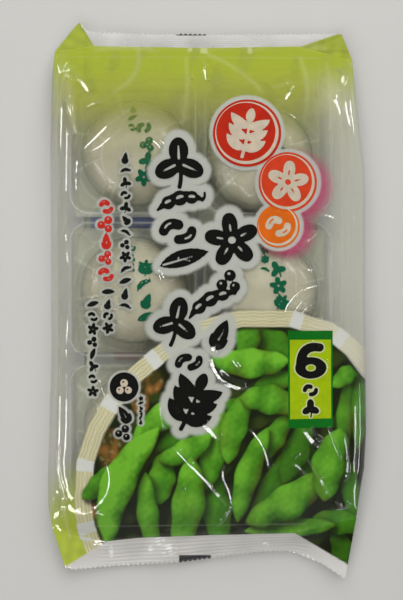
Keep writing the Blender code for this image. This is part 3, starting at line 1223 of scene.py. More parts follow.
@dataclass(frozen=True)
class BasketPicture:
    """Printed basket of pods: a woven rim with bindings, and pods heaped inside it."""

    rim_px: Points = (
        (100, 560), (92, 544), (87, 530), (84, 515), (83, 500), (86, 460), (96, 430), (111, 404),
        (135, 375), (163, 352), (200, 329), (240, 319), (290, 319), (330, 331), (352, 348),
        (370, 368),
    )
    inner_px: Points = (
        (110, 562), (95, 526), (91, 500), (94, 464), (105, 434), (119, 410), (142, 382),
        (169, 359), (205, 337), (242, 327), (290, 327), (326, 338), (346, 355), (362, 376),
        (384, 396), (384, 590), (112, 590),
    )
    bindings_px: Points = ((87, 528), (88, 466), (111, 404), (152, 358), (297, 320), (340, 337))
    rim_half: float = 8.5
    straw: Colour = srgb(212, 208, 172)
    straw_deep: Colour = srgb(166, 158, 114)
    binding: Colour = srgb(204, 206, 200)
    ground: Colour = srgb(26, 32, 12)
    moss: Colour = srgb(52, 66, 22)
    rust: Colour = srgb(146, 98, 46)
    rust_deep: Colour = srgb(66, 60, 22)
    speck: Colour = srgb(160, 160, 104)
    bleached: Colour = srgb(206, 204, 188)
    rusts_px: PointPairs = (
        ((111, 450), (14, 20)), ((151, 381), (12, 13)), ((140, 402), (9, 12)),
        ((93, 514), (7, 11)),
    )
    pods: tuple[Pod, ...] = (
        Pod((200, 425), 52, 13, 150, 0, 0.55),
        Pod((300, 485), 50, 14, 100, 0, 0.32),
        Pod((272, 486), 46, 11, 118, 0, 0.45),
        Pod((280, 380), 26, 9, -12, 0, 0.62),
        Pod((276, 345), 27, 13, 28, 3, 0.58),
        Pod((296, 452), 34, 13, 112, 0, 0.47),
        Pod((162, 478), 27, 13, 96, 0, 0.92),
        Pod((346, 414), 40, 9, 96, 0, 0.66),
        Pod((360, 402), 48, 8, 92, 0, 0.60),
        Pod((351, 490), 32, 9, 84, 0, 0.58),
        Pod((343, 550), 24, 11, 68, 0, 0.30),
        Pod((340, 522), 28, 12, 8, 0, 0.66),
        Pod((274, 438), 28, 11, 122, 0, 0.84),
        Pod((248, 338), 24, 12, 98, 0, 0.92),
        Pod((216, 508), 38, 15, 82, 0, 0.68),
        Pod((213, 448), 46, 14, 101, 4, 0.98),
        Pod((236, 427), 38, 13, 107, -5, 0.98),
        Pod((290, 528), 46, 10, -4, 0, 1.10),
        Pod((186, 450), 30, 12, 154, 4, 1.04),
        Pod((98, 484), 22, 10, 131, 3, 0.70, True),
        Pod((347, 376), 18, 9, -32, 3, 0.86),
        Pod((166, 418), 42, 13, 149, -7, 1.08),
        Pod((250, 474), 50, 12, 108, -5, 0.98),
        Pod((270, 401), 31, 14.5, 10, 4, 0.90),
        Pod((250, 362), 40, 14.5, 1, -3, 1.22),
        Pod((149, 514), 42, 10.5, 83, -3, 1.08),
        Pod((187, 504), 48, 16, 98, 4, 1.10),
        Pod((287, 501), 47, 17, 148, 5, 1.12),
        Pod((331, 464), 38, 17, 104, -4, 0.94),
        Pod((124, 486), 68, 16.5, 113, -16, 1.48),
    )

    def paint_rim(self, canvas: Canvas) -> None:
        """Lay the woven straw rim and its bindings."""
        px, py = canvas.px, canvas.py
        rim = np.full(px.shape, 1e9)
        way = np.zeros(px.shape)
        done = 0.0
        for start, end in zip(self.rim_px, self.rim_px[1:]):
            away, along = segment_distance(px, py, start, end)
            length = math.dist(start, end)
            way = np.where(away < rim, done + along * length, way)
            rim = np.minimum(rim, away)
            done += length
        strand = 0.5 + 0.5 * np.sin(2.0 * rim + 0.9 * np.sin(0.35 * way))
        straw = blend(self.straw_deep, self.straw, 0.35 + 0.65 * strand)
        straw = blend(straw, self.bleached, 0.65 * smooth(px, 296.0, 340.0))
        canvas.lay(straw, 0.92 * smooth(rim, self.rim_half + 0.8, self.rim_half - 0.8))
        for spot in self.bindings_px:
            near = np.hypot(px - spot[0], py - spot[1])
            at = way[np.argmin(near)]
            band = smooth(np.abs(way - at), 6.5, 5.5) * smooth(rim, self.rim_half + 1.5, self.rim_half)
            band = band * smooth(near, 13.5, 12.0)
            canvas.lay(self.binding, 0.95 * band)

    def paint(self, canvas: Canvas) -> None:
        """Lay the basket on the canvas."""
        px, py = canvas.px, canvas.py
        depth = polygon_distance(px, py, self.inner_px)
        inside = smooth(depth, 0.7, -0.7)
        self.paint_rim(canvas)
        canvas.lay(self.ground, inside)
        canvas.lay(self.moss, 0.8 * smooth(waves(px, py, 24.0, 37), -0.2, 1.4) * inside)
        for centre, half in self.rusts_px:
            away = np.hypot((px - centre[0]) / half[0], (py - centre[1]) / half[1])
            patch = smooth(away, 1.2, 0.7) * inside
            canvas.lay(self.rust_deep, 0.9 * patch)
            canvas.lay(self.rust, 0.85 * patch * smooth(waves(px, 0.6 * py, 13.0, 39), -0.9, 1.6))
            canvas.lay(self.speck, 0.3 * patch * smooth(waves(px, py, 9.0, 41), 0.8, 2.0))
        for pod in self.pods:
            pod.paint(canvas, np.ones(px.shape) if pod.over_rim else inside * smooth(depth, -1.0, -5.0))


@dataclass(frozen=True)
class Disc:
    """A printed round field with a pale motif."""

    name: str
    centre_px: Point
    radius_px: float
    colour: Colour
    motif: Motif
    half_px: Point
    turn: float = 0.0

    def figures(self) -> FigureSet:
        """The pale motif."""
        return FigureSet([Mark(self.motif, self.centre_px, self.half_px, self.turn)])

    def distance(self, px: Array, py: Array) -> Array:
        """Distance to the rim, negative inside."""
        return np.hypot(px - self.centre_px[0], py - self.centre_px[1]) - self.radius_px

    def crescent(self, px: Array, py: Array) -> Array:
        """Distance to the thin pale arc just inside the lower right of the rim."""
        x, y = self.centre_px
        line = 0.055 * self.radius_px
        inner = np.hypot(px - x + 1.2, py - y + 1.2) - self.radius_px + 2.4 * line
        outer = np.hypot(px - x + 0.2, py - y + 0.2) - self.radius_px + 1.3 * line
        return np.maximum(outer, -inner)

    def box(self) -> Bounds:
        """Lowest and highest pixels."""
        reach = self.radius_px + 2.0
        x, y = self.centre_px
        return (x - reach, y - reach, x + reach, y + reach)


@dataclass(frozen=True)
class SmallMarks:
    """Columns of small plant shapes."""

    name: str
    colour: Colour
    columns_px: tuple[tuple[float, float, float, int], ...]
    size: float = 4.9
    weight: float = 1.0
    seed: int = 3
    motifs: tuple[Motif, ...] = (
        Motif.POD, Motif.TREFOIL, Motif.BEANS, Motif.BLOSSOM, Motif.LEAF, Motif.BUD, Motif.BERRIES,
    )

    def marks(self) -> list[Mark]:
        """All the shapes, each turned a little."""
        draw = np.random.default_rng(self.seed)
        kinds = len(self.motifs)
        made = []
        last_index = -1
        for px, first, last, count in self.columns_px:
            for step in range(count):
                py = first + (last - first) * (step + 0.5) / count
                index = int(draw.integers(kinds))
                index = (index + 1) % kinds if index == last_index else index
                last_index = index
                half = (self.size * draw.uniform(0.95, 1.15), self.size * draw.uniform(0.95, 1.15))
                turn = draw.uniform(-40, 40)
                made.append(Mark(self.motifs[index], (px, py), half, turn, self.weight))
        return made


@dataclass(frozen=True)
class CountLabel:
    """Upright label with a dark bar at each end, a plain numeral and two small motifs."""

    centre_px: Point = (311.1, 379.5)
    half_px: Point = (22.7, 48.6)
    field_half_px: Point = (21.0, 39.6)
    bowl_px: Point = (311.4, 368.2)
    bowl_half: Point = (10.6, 7.2)
    crook_y_px: float = 344.0
    tip_px: Point = (320.5, 347.8)
    line: float = 4.5
    outline: float = 1.3
    depth: float = 0.34
    layer: float = 0.06

    def numeral(self, px: Array, py: Array) -> Array:
        """Distance to a plain figure six, negative inside it."""
        (x, y), (half_x, half_y) = self.bowl_px, self.bowl_half
        ring = np.abs(np.hypot((px - x) / half_x, (py - y) / half_y) - 1.0)
        bowl = ring * 0.5 * (half_x + half_y) - self.line
        left = x - half_x
        arm = Stroke((left, y), (left - 0.5, self.crook_y_px), self.tip_px, (self.line, 5.0, 4.2))
        return np.minimum(bowl, arm.distance(px, py))

    def motifs(self, px: Array, py: Array) -> Array:
        """Distance to the two small motifs below the numeral."""
        marks = (
            Mark(Motif.BEANS, (311.0, 390.5), (8.6, 8.2)),
            Mark(Motif.TREFOIL, (311.0, 408.8), (8.8, 8.6), 0.0, 1.15),
        )
        return FigureSet(marks).distance(px, py)

    def glyphs(self, px: Array, py: Array) -> Array:
        """Distance to all the dark figures."""
        return np.minimum(self.numeral(px, py), self.motifs(px, py))

    def rim(self, px: Array, py: Array) -> Array:
        """Distance to the pale outline round the figures."""
        return self.glyphs(px, py) - self.outline

    def layers(self) -> list[Stencil]:
        """The label's layers, from the lowest to the highest."""
        x, y = self.centre_px
        reach = (self.half_px[0] + 2, self.half_px[1] + 2)
        box = (x - reach[0], y - reach[1], x + reach[0], y + reach[1])
        plate = partial(box_distance, centre=self.centre_px, half=self.half_px)
        middle = partial(box_distance, centre=self.centre_px, half=self.field_half_px)
        fields = (
            ("bars", plate, InkFinish("label_green", srgb(10, 108, 24)), 1.0),
            ("field", middle, InkFinish("label_lime", srgb(158, 184, 8)), 1.0),
            ("outline", self.rim, InkFinish("label_pale", srgb(198, 202, 150)), 0.7),
            ("figures", self.glyphs, InkFinish("label_black", srgb(14, 16, 12)), 0.7),
        )
        return [
            Stencil(f"label_{part}", box, distance, self.depth - index * self.layer, ink, step)
            for index, (part, distance, ink, step) in enumerate(fields)
        ]


@dataclass
class FrontPrint:
    """Everything printed on the front film."""

    view: PhotoView
    relief: FilmRelief
    sheet_depth: float = 0.6
    halo: Colour = srgb(180, 182, 174)
    leaf_top: Colour = srgb(164, 178, 44)
    leaf_low: Colour = srgb(168, 172, 74)
    corner_lime: Colour = srgb(172, 187, 58)
    # Painted shade for the steep left side and painted light for the steep right side.
    side_painted_shade: Colour = srgb(176, 174, 154)
    side_painted_light: Colour = srgb(204, 204, 188)
    # Pale for the unprinted gaps in the green, and for painted sheen and glints along folds, corners and
    # sides.
    pale_gap_and_sheen: Colour = srgb(210, 214, 170)
    glow: Colour = srgb(184, 62, 108)
    glow_shift_px: Point = (9.0, 5.0)
    # Pale for the film's seam lines, and for the line along each crease, which is partly creased film and
    # partly painted highlight.
    seam_and_crease_sheen: Colour = srgb(186, 190, 172)
    fade_px: Points = (
        (40, 0.86), (56, 0.95), (72, 0.90), (88, 0.78), (100, 0.66), (110, 0.50), (120, 0.32),
        (132, 0.18), (148, 0.08), (170, 0.0),
    )
    notches_px: PointPairs = (
        ((204.0, 47.0), (3.5, 6.0)), ((250.0, 47.0), (2.2, 6.5)), ((190.0, 49.0), (2.0, 2.6)),
    )
    # Soft pale bands over the folds of the green top: painted sheen.
    fold_sheens_px: tuple[Stroke, ...] = (
        Stroke((138, 50), (144, 76), (114, 92), (1.2, 2.2, 0.4)),
        Stroke((96, 50), (130, 46), (150, 49), (0.8, 1.8, 0.6)),
        Stroke((206, 54), (240, 66), (262, 92), (0.4, 1.4, 0.4)),
        Stroke((300, 58), (312, 84), (304, 122), (0.6, 2.0, 0.6)),
        Stroke((326, 64), (334, 92), (330, 128), (0.6, 2.0, 0.6)),
        Stroke((186, 60), (190, 92), (182, 124), (0.4, 1.2, 0.4)),
        Stroke((68, 82), (72, 104), (76, 134), (0.4, 1.2, 0.6)),
    )
    # Thin pale lines down the left side near both corners: painted highlights.
    corner_sheen_lines_px: tuple[Stroke, ...] = (
        Stroke((60, 66), (55, 78), (54, 112), (0.5, 0.7, 0.5)),
        Stroke((66, 72), (60, 82), (59, 118), (0.5, 0.7, 0.5)),
        Stroke((58, 470), (62, 505), (70, 538), (0.6, 1.2, 0.6)),
    )
    # Inset, width and cover of thin pale lines down the sides: painted glints.
    side_glint_lines_mm: tuple[tuple[float, float, float], ...] = (
        (-1.4, 0.5, 0.34), (-3.6, 0.7, 0.30), (-6.8, 0.6, 0.16), (3.2, 0.6, 0.30),
        (6.4, 0.5, 0.18), (9.0, 0.5, 0.24), (10.6, 0.4, 0.14),
    )
    seams_px: PointPairs = (
        ((70.0, 57.0), (330.0, 58.0)),
        ((88.0, 526.5), (306.0, 524.0)),
    )
    basket: BasketPicture = field(default_factory=BasketPicture)
    label: CountLabel = field(default_factory=CountLabel)
    large_marks: tuple[Mark, ...] = (
        Mark(Motif.TREFOIL, (179, 163), (25, 24), 0.0, 1.1),
        Mark(Motif.POD, (180, 200), (25, 17), -10.0, 1.1),
        Mark(Motif.BEANS, (178, 231), (21, 16), 0.0, 1.05),
        Mark(Motif.LEAF, (184, 259), (25, 14), 4.0, 1.0),
        Mark(Motif.BLOSSOM, (232, 240), (26, 26), -8.0, 1.0),
        Mark(Motif.BERRIES, (229, 281), (14, 13), 10.0, 1.0),
        Mark(Motif.POD, (211, 301), (28, 17), -26.0, 1.05),
        Mark(Motif.TREFOIL, (176, 322), (22, 24), 14.0, 1.1),
        Mark(Motif.BUD, (221, 334), (14, 16), 24.0, 1.1),
        Mark(Motif.BEANS, (189, 362), (16, 11), -14.0, 1.1),
        Mark(Motif.FROND, (193, 402), (26, 30), 24.0, 1.1),
    )
    discs: tuple[Disc, ...] = (
        Disc("red", (247, 133), 34.0, srgb(184, 42, 22), Motif.FROND, (22, 25), 12.0),
        Disc("vermilion", (288, 182), 29.5, srgb(206, 66, 34), Motif.BLOSSOM, (20, 20), 6.0),
        Disc("orange", (278.5, 226), 21.5, srgb(214, 106, 22), Motif.BEANS, (14, 14)),
    )
    small: tuple[SmallMarks, ...] = (
        SmallMarks(
            "black_dabs",
            srgb(20, 22, 16),
            ((125.5, 152, 312, 13), (108, 286, 334, 4), (92.5, 298, 398, 8)),
            5.4,
        ),
        SmallMarks("red_dabs", srgb(196, 44, 34), ((106, 198, 283, 5),), 8.2, 1.05, 9),
        SmallMarks("sign_dabs", srgb(18, 20, 16), ((124, 405, 441, 2),), 8.5, 1.0, 4),
        SmallMarks("fine_dabs", srgb(18, 20, 16), ((141, 396, 424, 6),), 2.4, 1.0, 6),
    )
    emblem: Disc = Disc("emblem", (124, 387), 14.5, srgb(16, 18, 14), Motif.BERRIES, (9, 9))

    def paint(self, canvas: Canvas) -> None:
        """Lay all the soft fields."""
        px, py = canvas.px, canvas.py
        drift = 3.0 * waves(px, py, 90.0, 21)
        leaf = blend(self.leaf_top, self.leaf_low, smooth(py + drift, 60.0, 112.0))
        rows, covers = zip(*self.fade_px)
        cover = np.interp(py + drift, rows, covers)
        cover = cover * (1.0 - 0.12 * smooth(waves(px, 0.5 * py, 26.0, 23), 0.4, 1.8))
        grain = np.random.default_rng(25).normal(0.0, 0.05, px.shape)
        canvas.lay(leaf, cover * (1.0 + grain * (py < 200.0)))
        for centre, half in self.notches_px:
            canvas.lay(self.pale_gap_and_sheen, 0.45 * smooth(box_distance(px, py, centre, half), 0.8, -0.4))
        self.paint_sides(canvas)
        lime = smooth(py + 0.5 * (px - 60.0), 455.0, 535.0) * smooth(px, 108.0, 84.0)
        canvas.lay(self.corner_lime, 0.95 * lime * (1.0 + grain))
        # Painted sheen over the folds.
        for fold in self.fold_sheens_px:
            canvas.lay(self.pale_gap_and_sheen, 0.16 * smooth(fold.distance(px, py), 3.4, -1.6))
        # Painted highlights near the corners.
        for line in self.corner_sheen_lines_px:
            canvas.lay(self.pale_gap_and_sheen, 0.26 * smooth(line.distance(px, py), 1.4, -0.6))
        self.basket.paint(canvas)
        self.paint_halos(canvas)
        for start, end in self.seams_px:
            broken = 0.10 + 0.06 * smooth(waves(px, py, 40.0, 29), -0.6, 0.8)
            canvas.lay(self.seam_and_crease_sheen, broken * smooth(segment_distance(px, py, start, end)[0], 1.0, 0.2))
        # A faint pale line along each crease: partly film whitened by the crease, partly a painted
        # highlight.
        for crease in self.relief.creases:
            near = smooth(crease.distance(px, py), 1.0 + crease.width, 0.2)
            canvas.lay(self.seam_and_crease_sheen, 0.11 * crease.strength * near)

    def paint_halos(self, canvas: Canvas) -> None:
        """Lay the pink glow beside the warm discs, and the pale halos round every crisp shape."""
        px, py = canvas.px, canvas.py
        spread = np.full(px.shape, 1e9)
        shift_x, shift_y = self.glow_shift_px
        for disc in self.discs[1:]:
            spread = np.minimum(spread, disc.distance(px - shift_x, py - shift_y))
        canvas.lay(self.glow, 0.74 * smooth(spread, 12.0, -5.0))
        away = FigureSet(self.large_marks, 20.0).distance(px, py, whole=True)
        canvas.lay(self.halo, 0.95 * smooth(away, 10.0, 5.5))
        for disc in (*self.discs, self.emblem):
            away = disc.distance(px, py)
            ring = smooth(away, 5.0, 2.6) if disc.radius_px > 20 else smooth(away, 3.0, 1.5)
            canvas.lay(self.halo, 0.9 * ring)
        for marks in self.small:
            away = FigureSet(marks.marks(), 8.0).distance(px, py)
            canvas.lay(self.halo, 0.85 * smooth(away, 3.0, 1.2))

    def paint_sides(self, canvas: Canvas) -> None:
        """Lay painted shade over the steep film on the left side and painted light over the steep right
        side, and thin pale lines down both sides as painted glints.
        """
        x, y = self.view.place(canvas.px, canvas.py, 20.0)
        left, right, low, high = self.relief.shape.margins(x, y)
        body = smooth(np.minimum(low, high), 4.0, 26.0)
        # Painted shade down the steep left side and painted light down the steep right side.
        canvas.lay(self.side_painted_shade, 0.30 * body * smooth(left, 14.0, 6.0) * smooth(left, 0.0, 1.5))
        canvas.lay(self.side_painted_light, 0.50 * body * smooth(right, 28.0, 8.0) * smooth(right, 0.0, 1.5))
        # Thin pale lines down both sides: painted glints.
        for inset, width, cover in self.side_glint_lines_mm:
            near = left if inset < 0.0 else right
            wander = abs(inset) + 0.35 * waves(y, 0.0 * y, 60.0, 80 + int(10 * abs(inset)))
            broken = 0.55 + 0.45 * smooth(waves(y, 0.0 * y, 46.0, 60 + int(10 * abs(inset))), -0.8, 0.6)
            canvas.lay(self.pale_gap_and_sheen, cover * broken * body * smooth(np.abs(near - wander), width, 0.1))

    def sheets(self) -> list[Piece]:
        """The soft fields as two painted sheets just inside the film."""
        shape = self.relief.shape
        finish = FilmFinish("printed_fields", gloss=0.0, painted=True, dotted=True)
        pieces = []
        for index in range(2):

            def placing(u: Array, v: Array, low: float = 0.5 * index) -> Places:
                """Points just under one half of the front film."""
                x, y = shape.body_plan(u, low + 0.5 * v)
                inset = self.sheet_depth * smooth(shape.edge_distance(x, y), 0.0, 2.0)
                return x, y, self.relief.film_height(x, y) - inset

            piece = SheetMaker.make(f"front_print_{index + 1}", 300, 320, placing, finish)
            canvas = Canvas(*self.view.pixel(*SheetMaker.places(piece)))
            self.paint(canvas)
            pieces.append(SheetMaker.ink(piece, canvas))
        return pieces

    def stencils(self) -> list[Stencil]:
        """The crisp shapes, from the lowest to the highest."""
        black = InkFinish("brush_black", srgb(15, 16, 12))
        pale = InkFinish("disc_pale", srgb(200, 188, 168))
        made = []
        for disc in (*self.discs, self.emblem):
            name, box, figures = disc.name, disc.box(), disc.figures()
            ink = InkFinish(f"ink_{name}", disc.colour)
            made.append(Stencil(f"disc_{name}", box, disc.distance, 0.34, ink))
            made.append(Stencil(f"motif_{name}", figures.box(), figures.distance, 0.24, pale, 0.6))
            if disc.radius_px > 20:
                made.append(Stencil(f"arc_{name}", box, disc.crescent, 0.24, pale, 0.6))
        large = FigureSet(self.large_marks)
        made.append(Stencil("brush_marks", large.box(), large.distance, 0.30, black, 0.7))
        for marks in self.small:
            figures = FigureSet(marks.marks(), 8.0)
            ink = InkFinish(f"ink_{marks.name}", marks.colour)
            made.append(Stencil(marks.name, figures.box(), figures.distance, 0.30, ink, 0.5))
        return made + self.label.layers()

    def build(self) -> list[Piece]:
        """Make the painted sheets and every stencil."""
        pieces = self.sheets()
        for stencil in self.stencils():
            pieces.append(stencil.make(self.relief.film_height, self.view, self.view.print_level))
        return pieces


@dataclass
class Film:
    """The clear film: front, back, two crimped seals and the folded back fin."""

    view: PhotoView
    relief: FilmRelief
    printing: FrontPrint
    rib_count: int = 7
    rib_height: float = 0.14
    tooth_pitch: float = 2.3
    tooth_depth: float = 0.8
    tooth_start: float = 0.86
    fin_x: Point = (-8.0, 4.5)
    fin_drop: float = 0.3
    fin_rib_height: float = 0.05
    fin_rib_pitch: float = 1.6
    slack: float = 0.25
    cut_reach: dict[End, float] = field(default_factory=lambda: {End.TOP: 1.2, End.BOTTOM: 2.2})
    # White of the crimped seals: their own haze, brightened as painted light.
    seal_white_and_light: Colour = (0.86, 0.84, 0.80)
    # Corners of each printed ear, and a factor on its print that darkens the ears facing away from the
    # lamps: painted shade.
    ears_px: tuple[tuple[Points, float], ...] = (
        (((79, 21), (96, 49), (50, 53)), 0.86),
        (((344, 32), (296, 48), (356, 62)), 0.82),
        (((62, 569), (107, 541), (45, 525)), 1.0),
        (((350, 566), (293, 532), (360, 515)), 0.85),
    )
    # Folds of the ears, darkened as painted shade.
    ear_fold_shades_px: tuple[Stroke, ...] = (
        Stroke((80, 24), (88, 36), (97, 50), (1.0, 2.2, 1.6)),
        Stroke((302, 48), (322, 44), (343, 34), (0.8, 2.0, 1.0)),
        Stroke((316, 52), (334, 50), (348, 52), (0.6, 1.6, 0.8)),
    )
    signs_px: PointPairs = (((195.0, 559.0), (16.0, 4.0)), ((191.5, 33.6), (15.0, 2.0)))
    # Small white dashes on the bottom seal's crimps: painted glints.
    seal_glints_px: PointPairs = (
        ((111.0, 552.0), (3.0, 8.0)), ((160.0, 541.0), (6.0, 5.0)), ((169.0, 550.0), (9.0, 8.0)),
        ((151.0, 549.0), (3.5, 3.5)), ((266.0, 544.0), (4.0, 2.0)),
    )
    glint_white: Colour = (0.93, 0.93, 0.91)
    sign_dark: Colour = srgb(26, 28, 36)

    def front(self) -> list[Piece]:
        """The clear front with all its creases, in four quarters."""
        shape = self.relief.shape
        finish = FilmFinish("clear_film", roughness=0.08)
        pieces = []
        for index in range(4):
            corner = (0.5 * (index % 2), 0.5 * (index // 2))

            def placing(u: Array, v: Array, corner: Point = corner) -> Places:
                """Points on one quarter of the front film."""
                x, y = shape.body_plan(corner[0] + 0.5 * u, corner[1] + 0.5 * v)
                return x, y, self.relief.film_height(x, y)

            pieces.append(SheetMaker.make(f"film_front_{index + 1}", 230, 360, placing, finish))
        return pieces

    def back(self) -> Piece:
        """The clear back, flat on the table."""
        shape = self.relief.shape

        def placing(u: Array, v: Array) -> Places:
            """Points on the back film."""
            x, y = shape.body_plan(u, v)
            slack = self.slack * np.abs(waves(x, y, 26.0, 41))
            slack = slack * smooth(shape.edge_distance(x, y), 1.0, 9.0)
            return x, y, shape.back_height(x, y) + slack

        finish = FilmFinish("clear_film_back", gloss=1.6)
        return SheetMaker.make("film_back", 118, 190, placing, finish, face_up=False)

    def fin(self) -> Piece:
        """The back fin, folded flat under the pack and sealed into both ends."""
        shape = self.relief.shape

        def placing(u: Array, v: Array) -> Places:
            """Points on the lower face of the fin."""
            x = self.fin_x[0] + u * (self.fin_x[1] - self.fin_x[0])
            low, high = shape.along(shape.bottom_fold, x) + 1.0, shape.along(shape.top_fold, x) - 1.0
            y = low + v * (high - low)
            ribs = self.fin_rib_height * np.sin(2.0 * np.pi * y / self.fin_rib_pitch)
            ribs = ribs * smooth(np.abs(u - 0.5), 0.5, 0.3)
            return x, y, shape.back_height(x, y) - self.fin_drop + ribs

        finish = FilmFinish("fin_film", haze=0.22)
        return SheetMaker.make("back_fin", 14, 520, placing, finish, face_up=False)

    def seal(self, end: End) -> Piece:
        """One crimped end seal with its zigzag cut and its two printed ears."""
        shape = self.relief.shape

        def placing(u: Array, v: Array) -> Places:
            """Points on the seal."""
            x, y = shape.seal_plan(end, u, v)
            z = shape.seal_height(x, v)
            ribs = np.sin(2.0 * np.pi * self.rib_count * v) * smooth(v, 0.0, 0.1) * smooth(v, 1.0, 0.9)
            ribs = ribs * smooth(np.abs(x), 56.0, 44.0) * (0.45 if end is End.TOP else 1.0)
            wobble = 0.5 * waves(x, y, 30.0, 51) * smooth(v, 0.0, 0.6)
            tooth = 2.0 * np.abs((x / self.tooth_pitch) % 1.0 - 0.5)
            bite = self.tooth_depth * tooth * smooth(v, self.tooth_start, 1.0)
            out = 1.0 if end is End.TOP else -1.0
            y = y + out * (self.cut_reach[end] * v - bite)
            return x, y, z + self.rib_height * ribs + wobble

        finish = FilmFinish(f"seal_film_{end.value}", painted=True, gloss=2.2)
        piece = SheetMaker.make(f"seal_{end.value}", 460, 40, placing, finish, face_up=end is End.TOP)
        return SheetMaker.ink(piece, self.seal_ink(end, *self.view.pixel(*SheetMaker.places(piece))))

    def seal_ink(self, end: End, px: Array, py: Array) -> Canvas:
        """Lay the milky film brightened by painted light, the printed ears with painted shade, a dark sign
        and painted glints on the crimps.

        Args:
            end: Which seal.
            px: First pixel coordinate of each point.
            py: Second pixel coordinate of each point.

        Returns:
            The painted canvas.
        """
        canvas, printed = Canvas(px, py), Canvas(px, py)
        clouds = np.clip(waves(px, 1.4 * py, 40.0, 61), -1.5, 1.5)
        # The bottom seal is whiter than the top, and whiter towards its left: painted light that lifts it
        # over the pack's shadow on the table.
        milky_and_light = 0.34 if end is End.TOP else 0.52 + 0.14 * smooth(px, 230.0, 140.0)
        canvas.lay(self.seal_white_and_light, milky_and_light + 0.05 * clouds)
        self.printing.paint(printed)
        # Each ear's print, darkened by its factor and along its folds: painted shade.
        for corners, tone in self.ears_px:
            cover = smooth(polygon_distance(px, py, corners), 0.6, -0.6)
            shade = tone * (1.0 + 0.05 * waves(px, py, 14.0, 63))
            for fold in self.ear_fold_shades_px:
                shade = shade * (1.0 - 0.16 * smooth(fold.distance(px, py), 1.6, -1.0))
            canvas.lay(printed.rgb * shade[:, None], np.maximum(printed.cover, 0.95) * cover)
        for centre, half in self.signs_px:
            canvas.lay(self.sign_dark, 0.97 * smooth(box_distance(px, py, centre, half), 0.4, -0.4))
        # Painted glints: short white dashes on the crimps.
        for centre, half in self.seal_glints_px:
            away = np.hypot((px - centre[0]) / half[0], (py - centre[1]) / half[1])
            dash = smooth(np.sin(1.9 * py + 0.5 * px) + 0.6 * waves(px, py, 9.0, 65), -0.2, 0.8)
            canvas.lay(self.glint_white, 0.9 * dash * smooth(away, 1.1, 0.5))
        return canvas

    def build(self) -> list[Piece]:
        """Make every film piece."""
        return [*self.front(), self.back(), self.fin(), self.seal(End.TOP), self.seal(End.BOTTOM)]


@dataclass
class Tray:
    """Clear moulded tray with a cell for each bun."""

    columns: tuple[float, ...] = (-67.6, -3.1, 61.3)
    rows: tuple[float, ...] = (-97.1, -29.3, 38.7, 106.4)
    flange: float = 3.6
    flange_height: float = 17.4
    rib_height: float = 14.4
    floor_height: float = 1.7
    rib_half: float = 2.4
    corner_radius: float = 9.0
    wall_run: float = 4.2
    lip: float = 1.8
    flute_depth: float = 0.35
    flute_pace: float = 0.9
    # Cover of the haze, and of the pale lines along the cell rims and the lip, partly painted light and
    # highlights.
    sheet_cover: float = 0.09
    cell_sheen_cover: float = 0.34
    lip_sheen_cover: float = 0.24
    milky_and_light: Colour = srgb(214, 216, 206)

    def opening(self, x: Array, y: Array, sides: Bounds, inset: float = 0.0) -> Array:
        """Distance to a rounded opening, negative inside it.

        Args:
            x: First coordinate of each place.
            y: Second coordinate of each place.
            sides: Its left, right, lower and upper side.
            inset: How far inside them it starts.

        Returns:
            The distance at each place.
        """
        left, right, low, high = sides
        centre = (0.5 * (left + right), 0.5 * (low + high))
        half = (0.5 * (right - left) - inset, 0.5 * (high - low) - inset)
        return box_distance(x, y, centre, half, self.corner_radius)

    def cell_distance(self, x: Array, y: Array) -> Array:
        """Distance to the opening of the nearest cell, negative inside it."""
        spans = itertools.product(zip(self.columns, self.columns[1:]), zip(self.rows, self.rows[1:]))
        cells = [self.opening(x, y, (*across, *along), self.rib_half) for across, along in spans]
        return np.minimum.reduce(cells)

    def rim_distance(self, x: Array, y: Array) -> Array:
        """Distance to the inner line of the flange, negative inside it."""
        sides = (self.columns[0], self.columns[-1], self.rows[0], self.rows[-1])
        return self.opening(x, y, sides)

    def height(self, x: Array, y: Array) -> Array:
        """Height of the tray's sheet."""
        beyond = self.rim_distance(x, y)
        top = self.flange_height - (self.flange_height - self.rib_height) * smooth(beyond, -3.0, -9.0)
        top = top - self.lip * smooth(beyond, self.flange - 1.0, self.flange)
        wall = smooth(self.cell_distance(x, y), 0.0, -self.wall_run)
        flutes = self.flute_depth * np.sin(self.flute_pace * (x + y)) * 4.0 * wall * (1.0 - wall)
        return top + (self.floor_height - top) * wall + flutes

    def haze_and_sheen(self, x: Array, y: Array) -> Array:
        """How milky the sheet is: a faint haze raised as painted light to lighten the cells, and whiter
        lines along the rims of the cells and the outer lip that are partly the thicker moulded edge and
        partly painted highlights.
        """
        cells = smooth(np.abs(self.cell_distance(x, y)), 1.2, 0.2)
        lip = smooth(np.abs(self.rim_distance(x, y) - self.flange + 0.5), 1.0, 0.2)
        return self.sheet_cover + self.cell_sheen_cover * cells + self.lip_sheen_cover * lip

    def build(self) -> list[Piece]:
        """Make the tray."""
        low_x, high_x = self.columns[0] - self.flange, self.columns[-1] + self.flange
        low_y, high_y = self.rows[0] - self.flange, self.rows[-1] + self.flange

        def placing(u: Array, v: Array) -> Places:
            """Points of the tray."""
            x, y = low_x + u * (high_x - low_x), low_y + v * (high_y - low_y)
            return x, y, self.height(x, y)

        finish = FilmFinish("tray_plastic", gloss=1.8, roughness=0.10, painted=True)
        piece = SheetMaker.make("tray", 150, 232, placing, finish)
        canvas = Canvas(*SheetMaker.places(piece)[:2])
        canvas.lay(self.milky_and_light, self.haze_and_sheen(canvas.px, canvas.py))
        return [SheetMaker.ink(piece, canvas)]


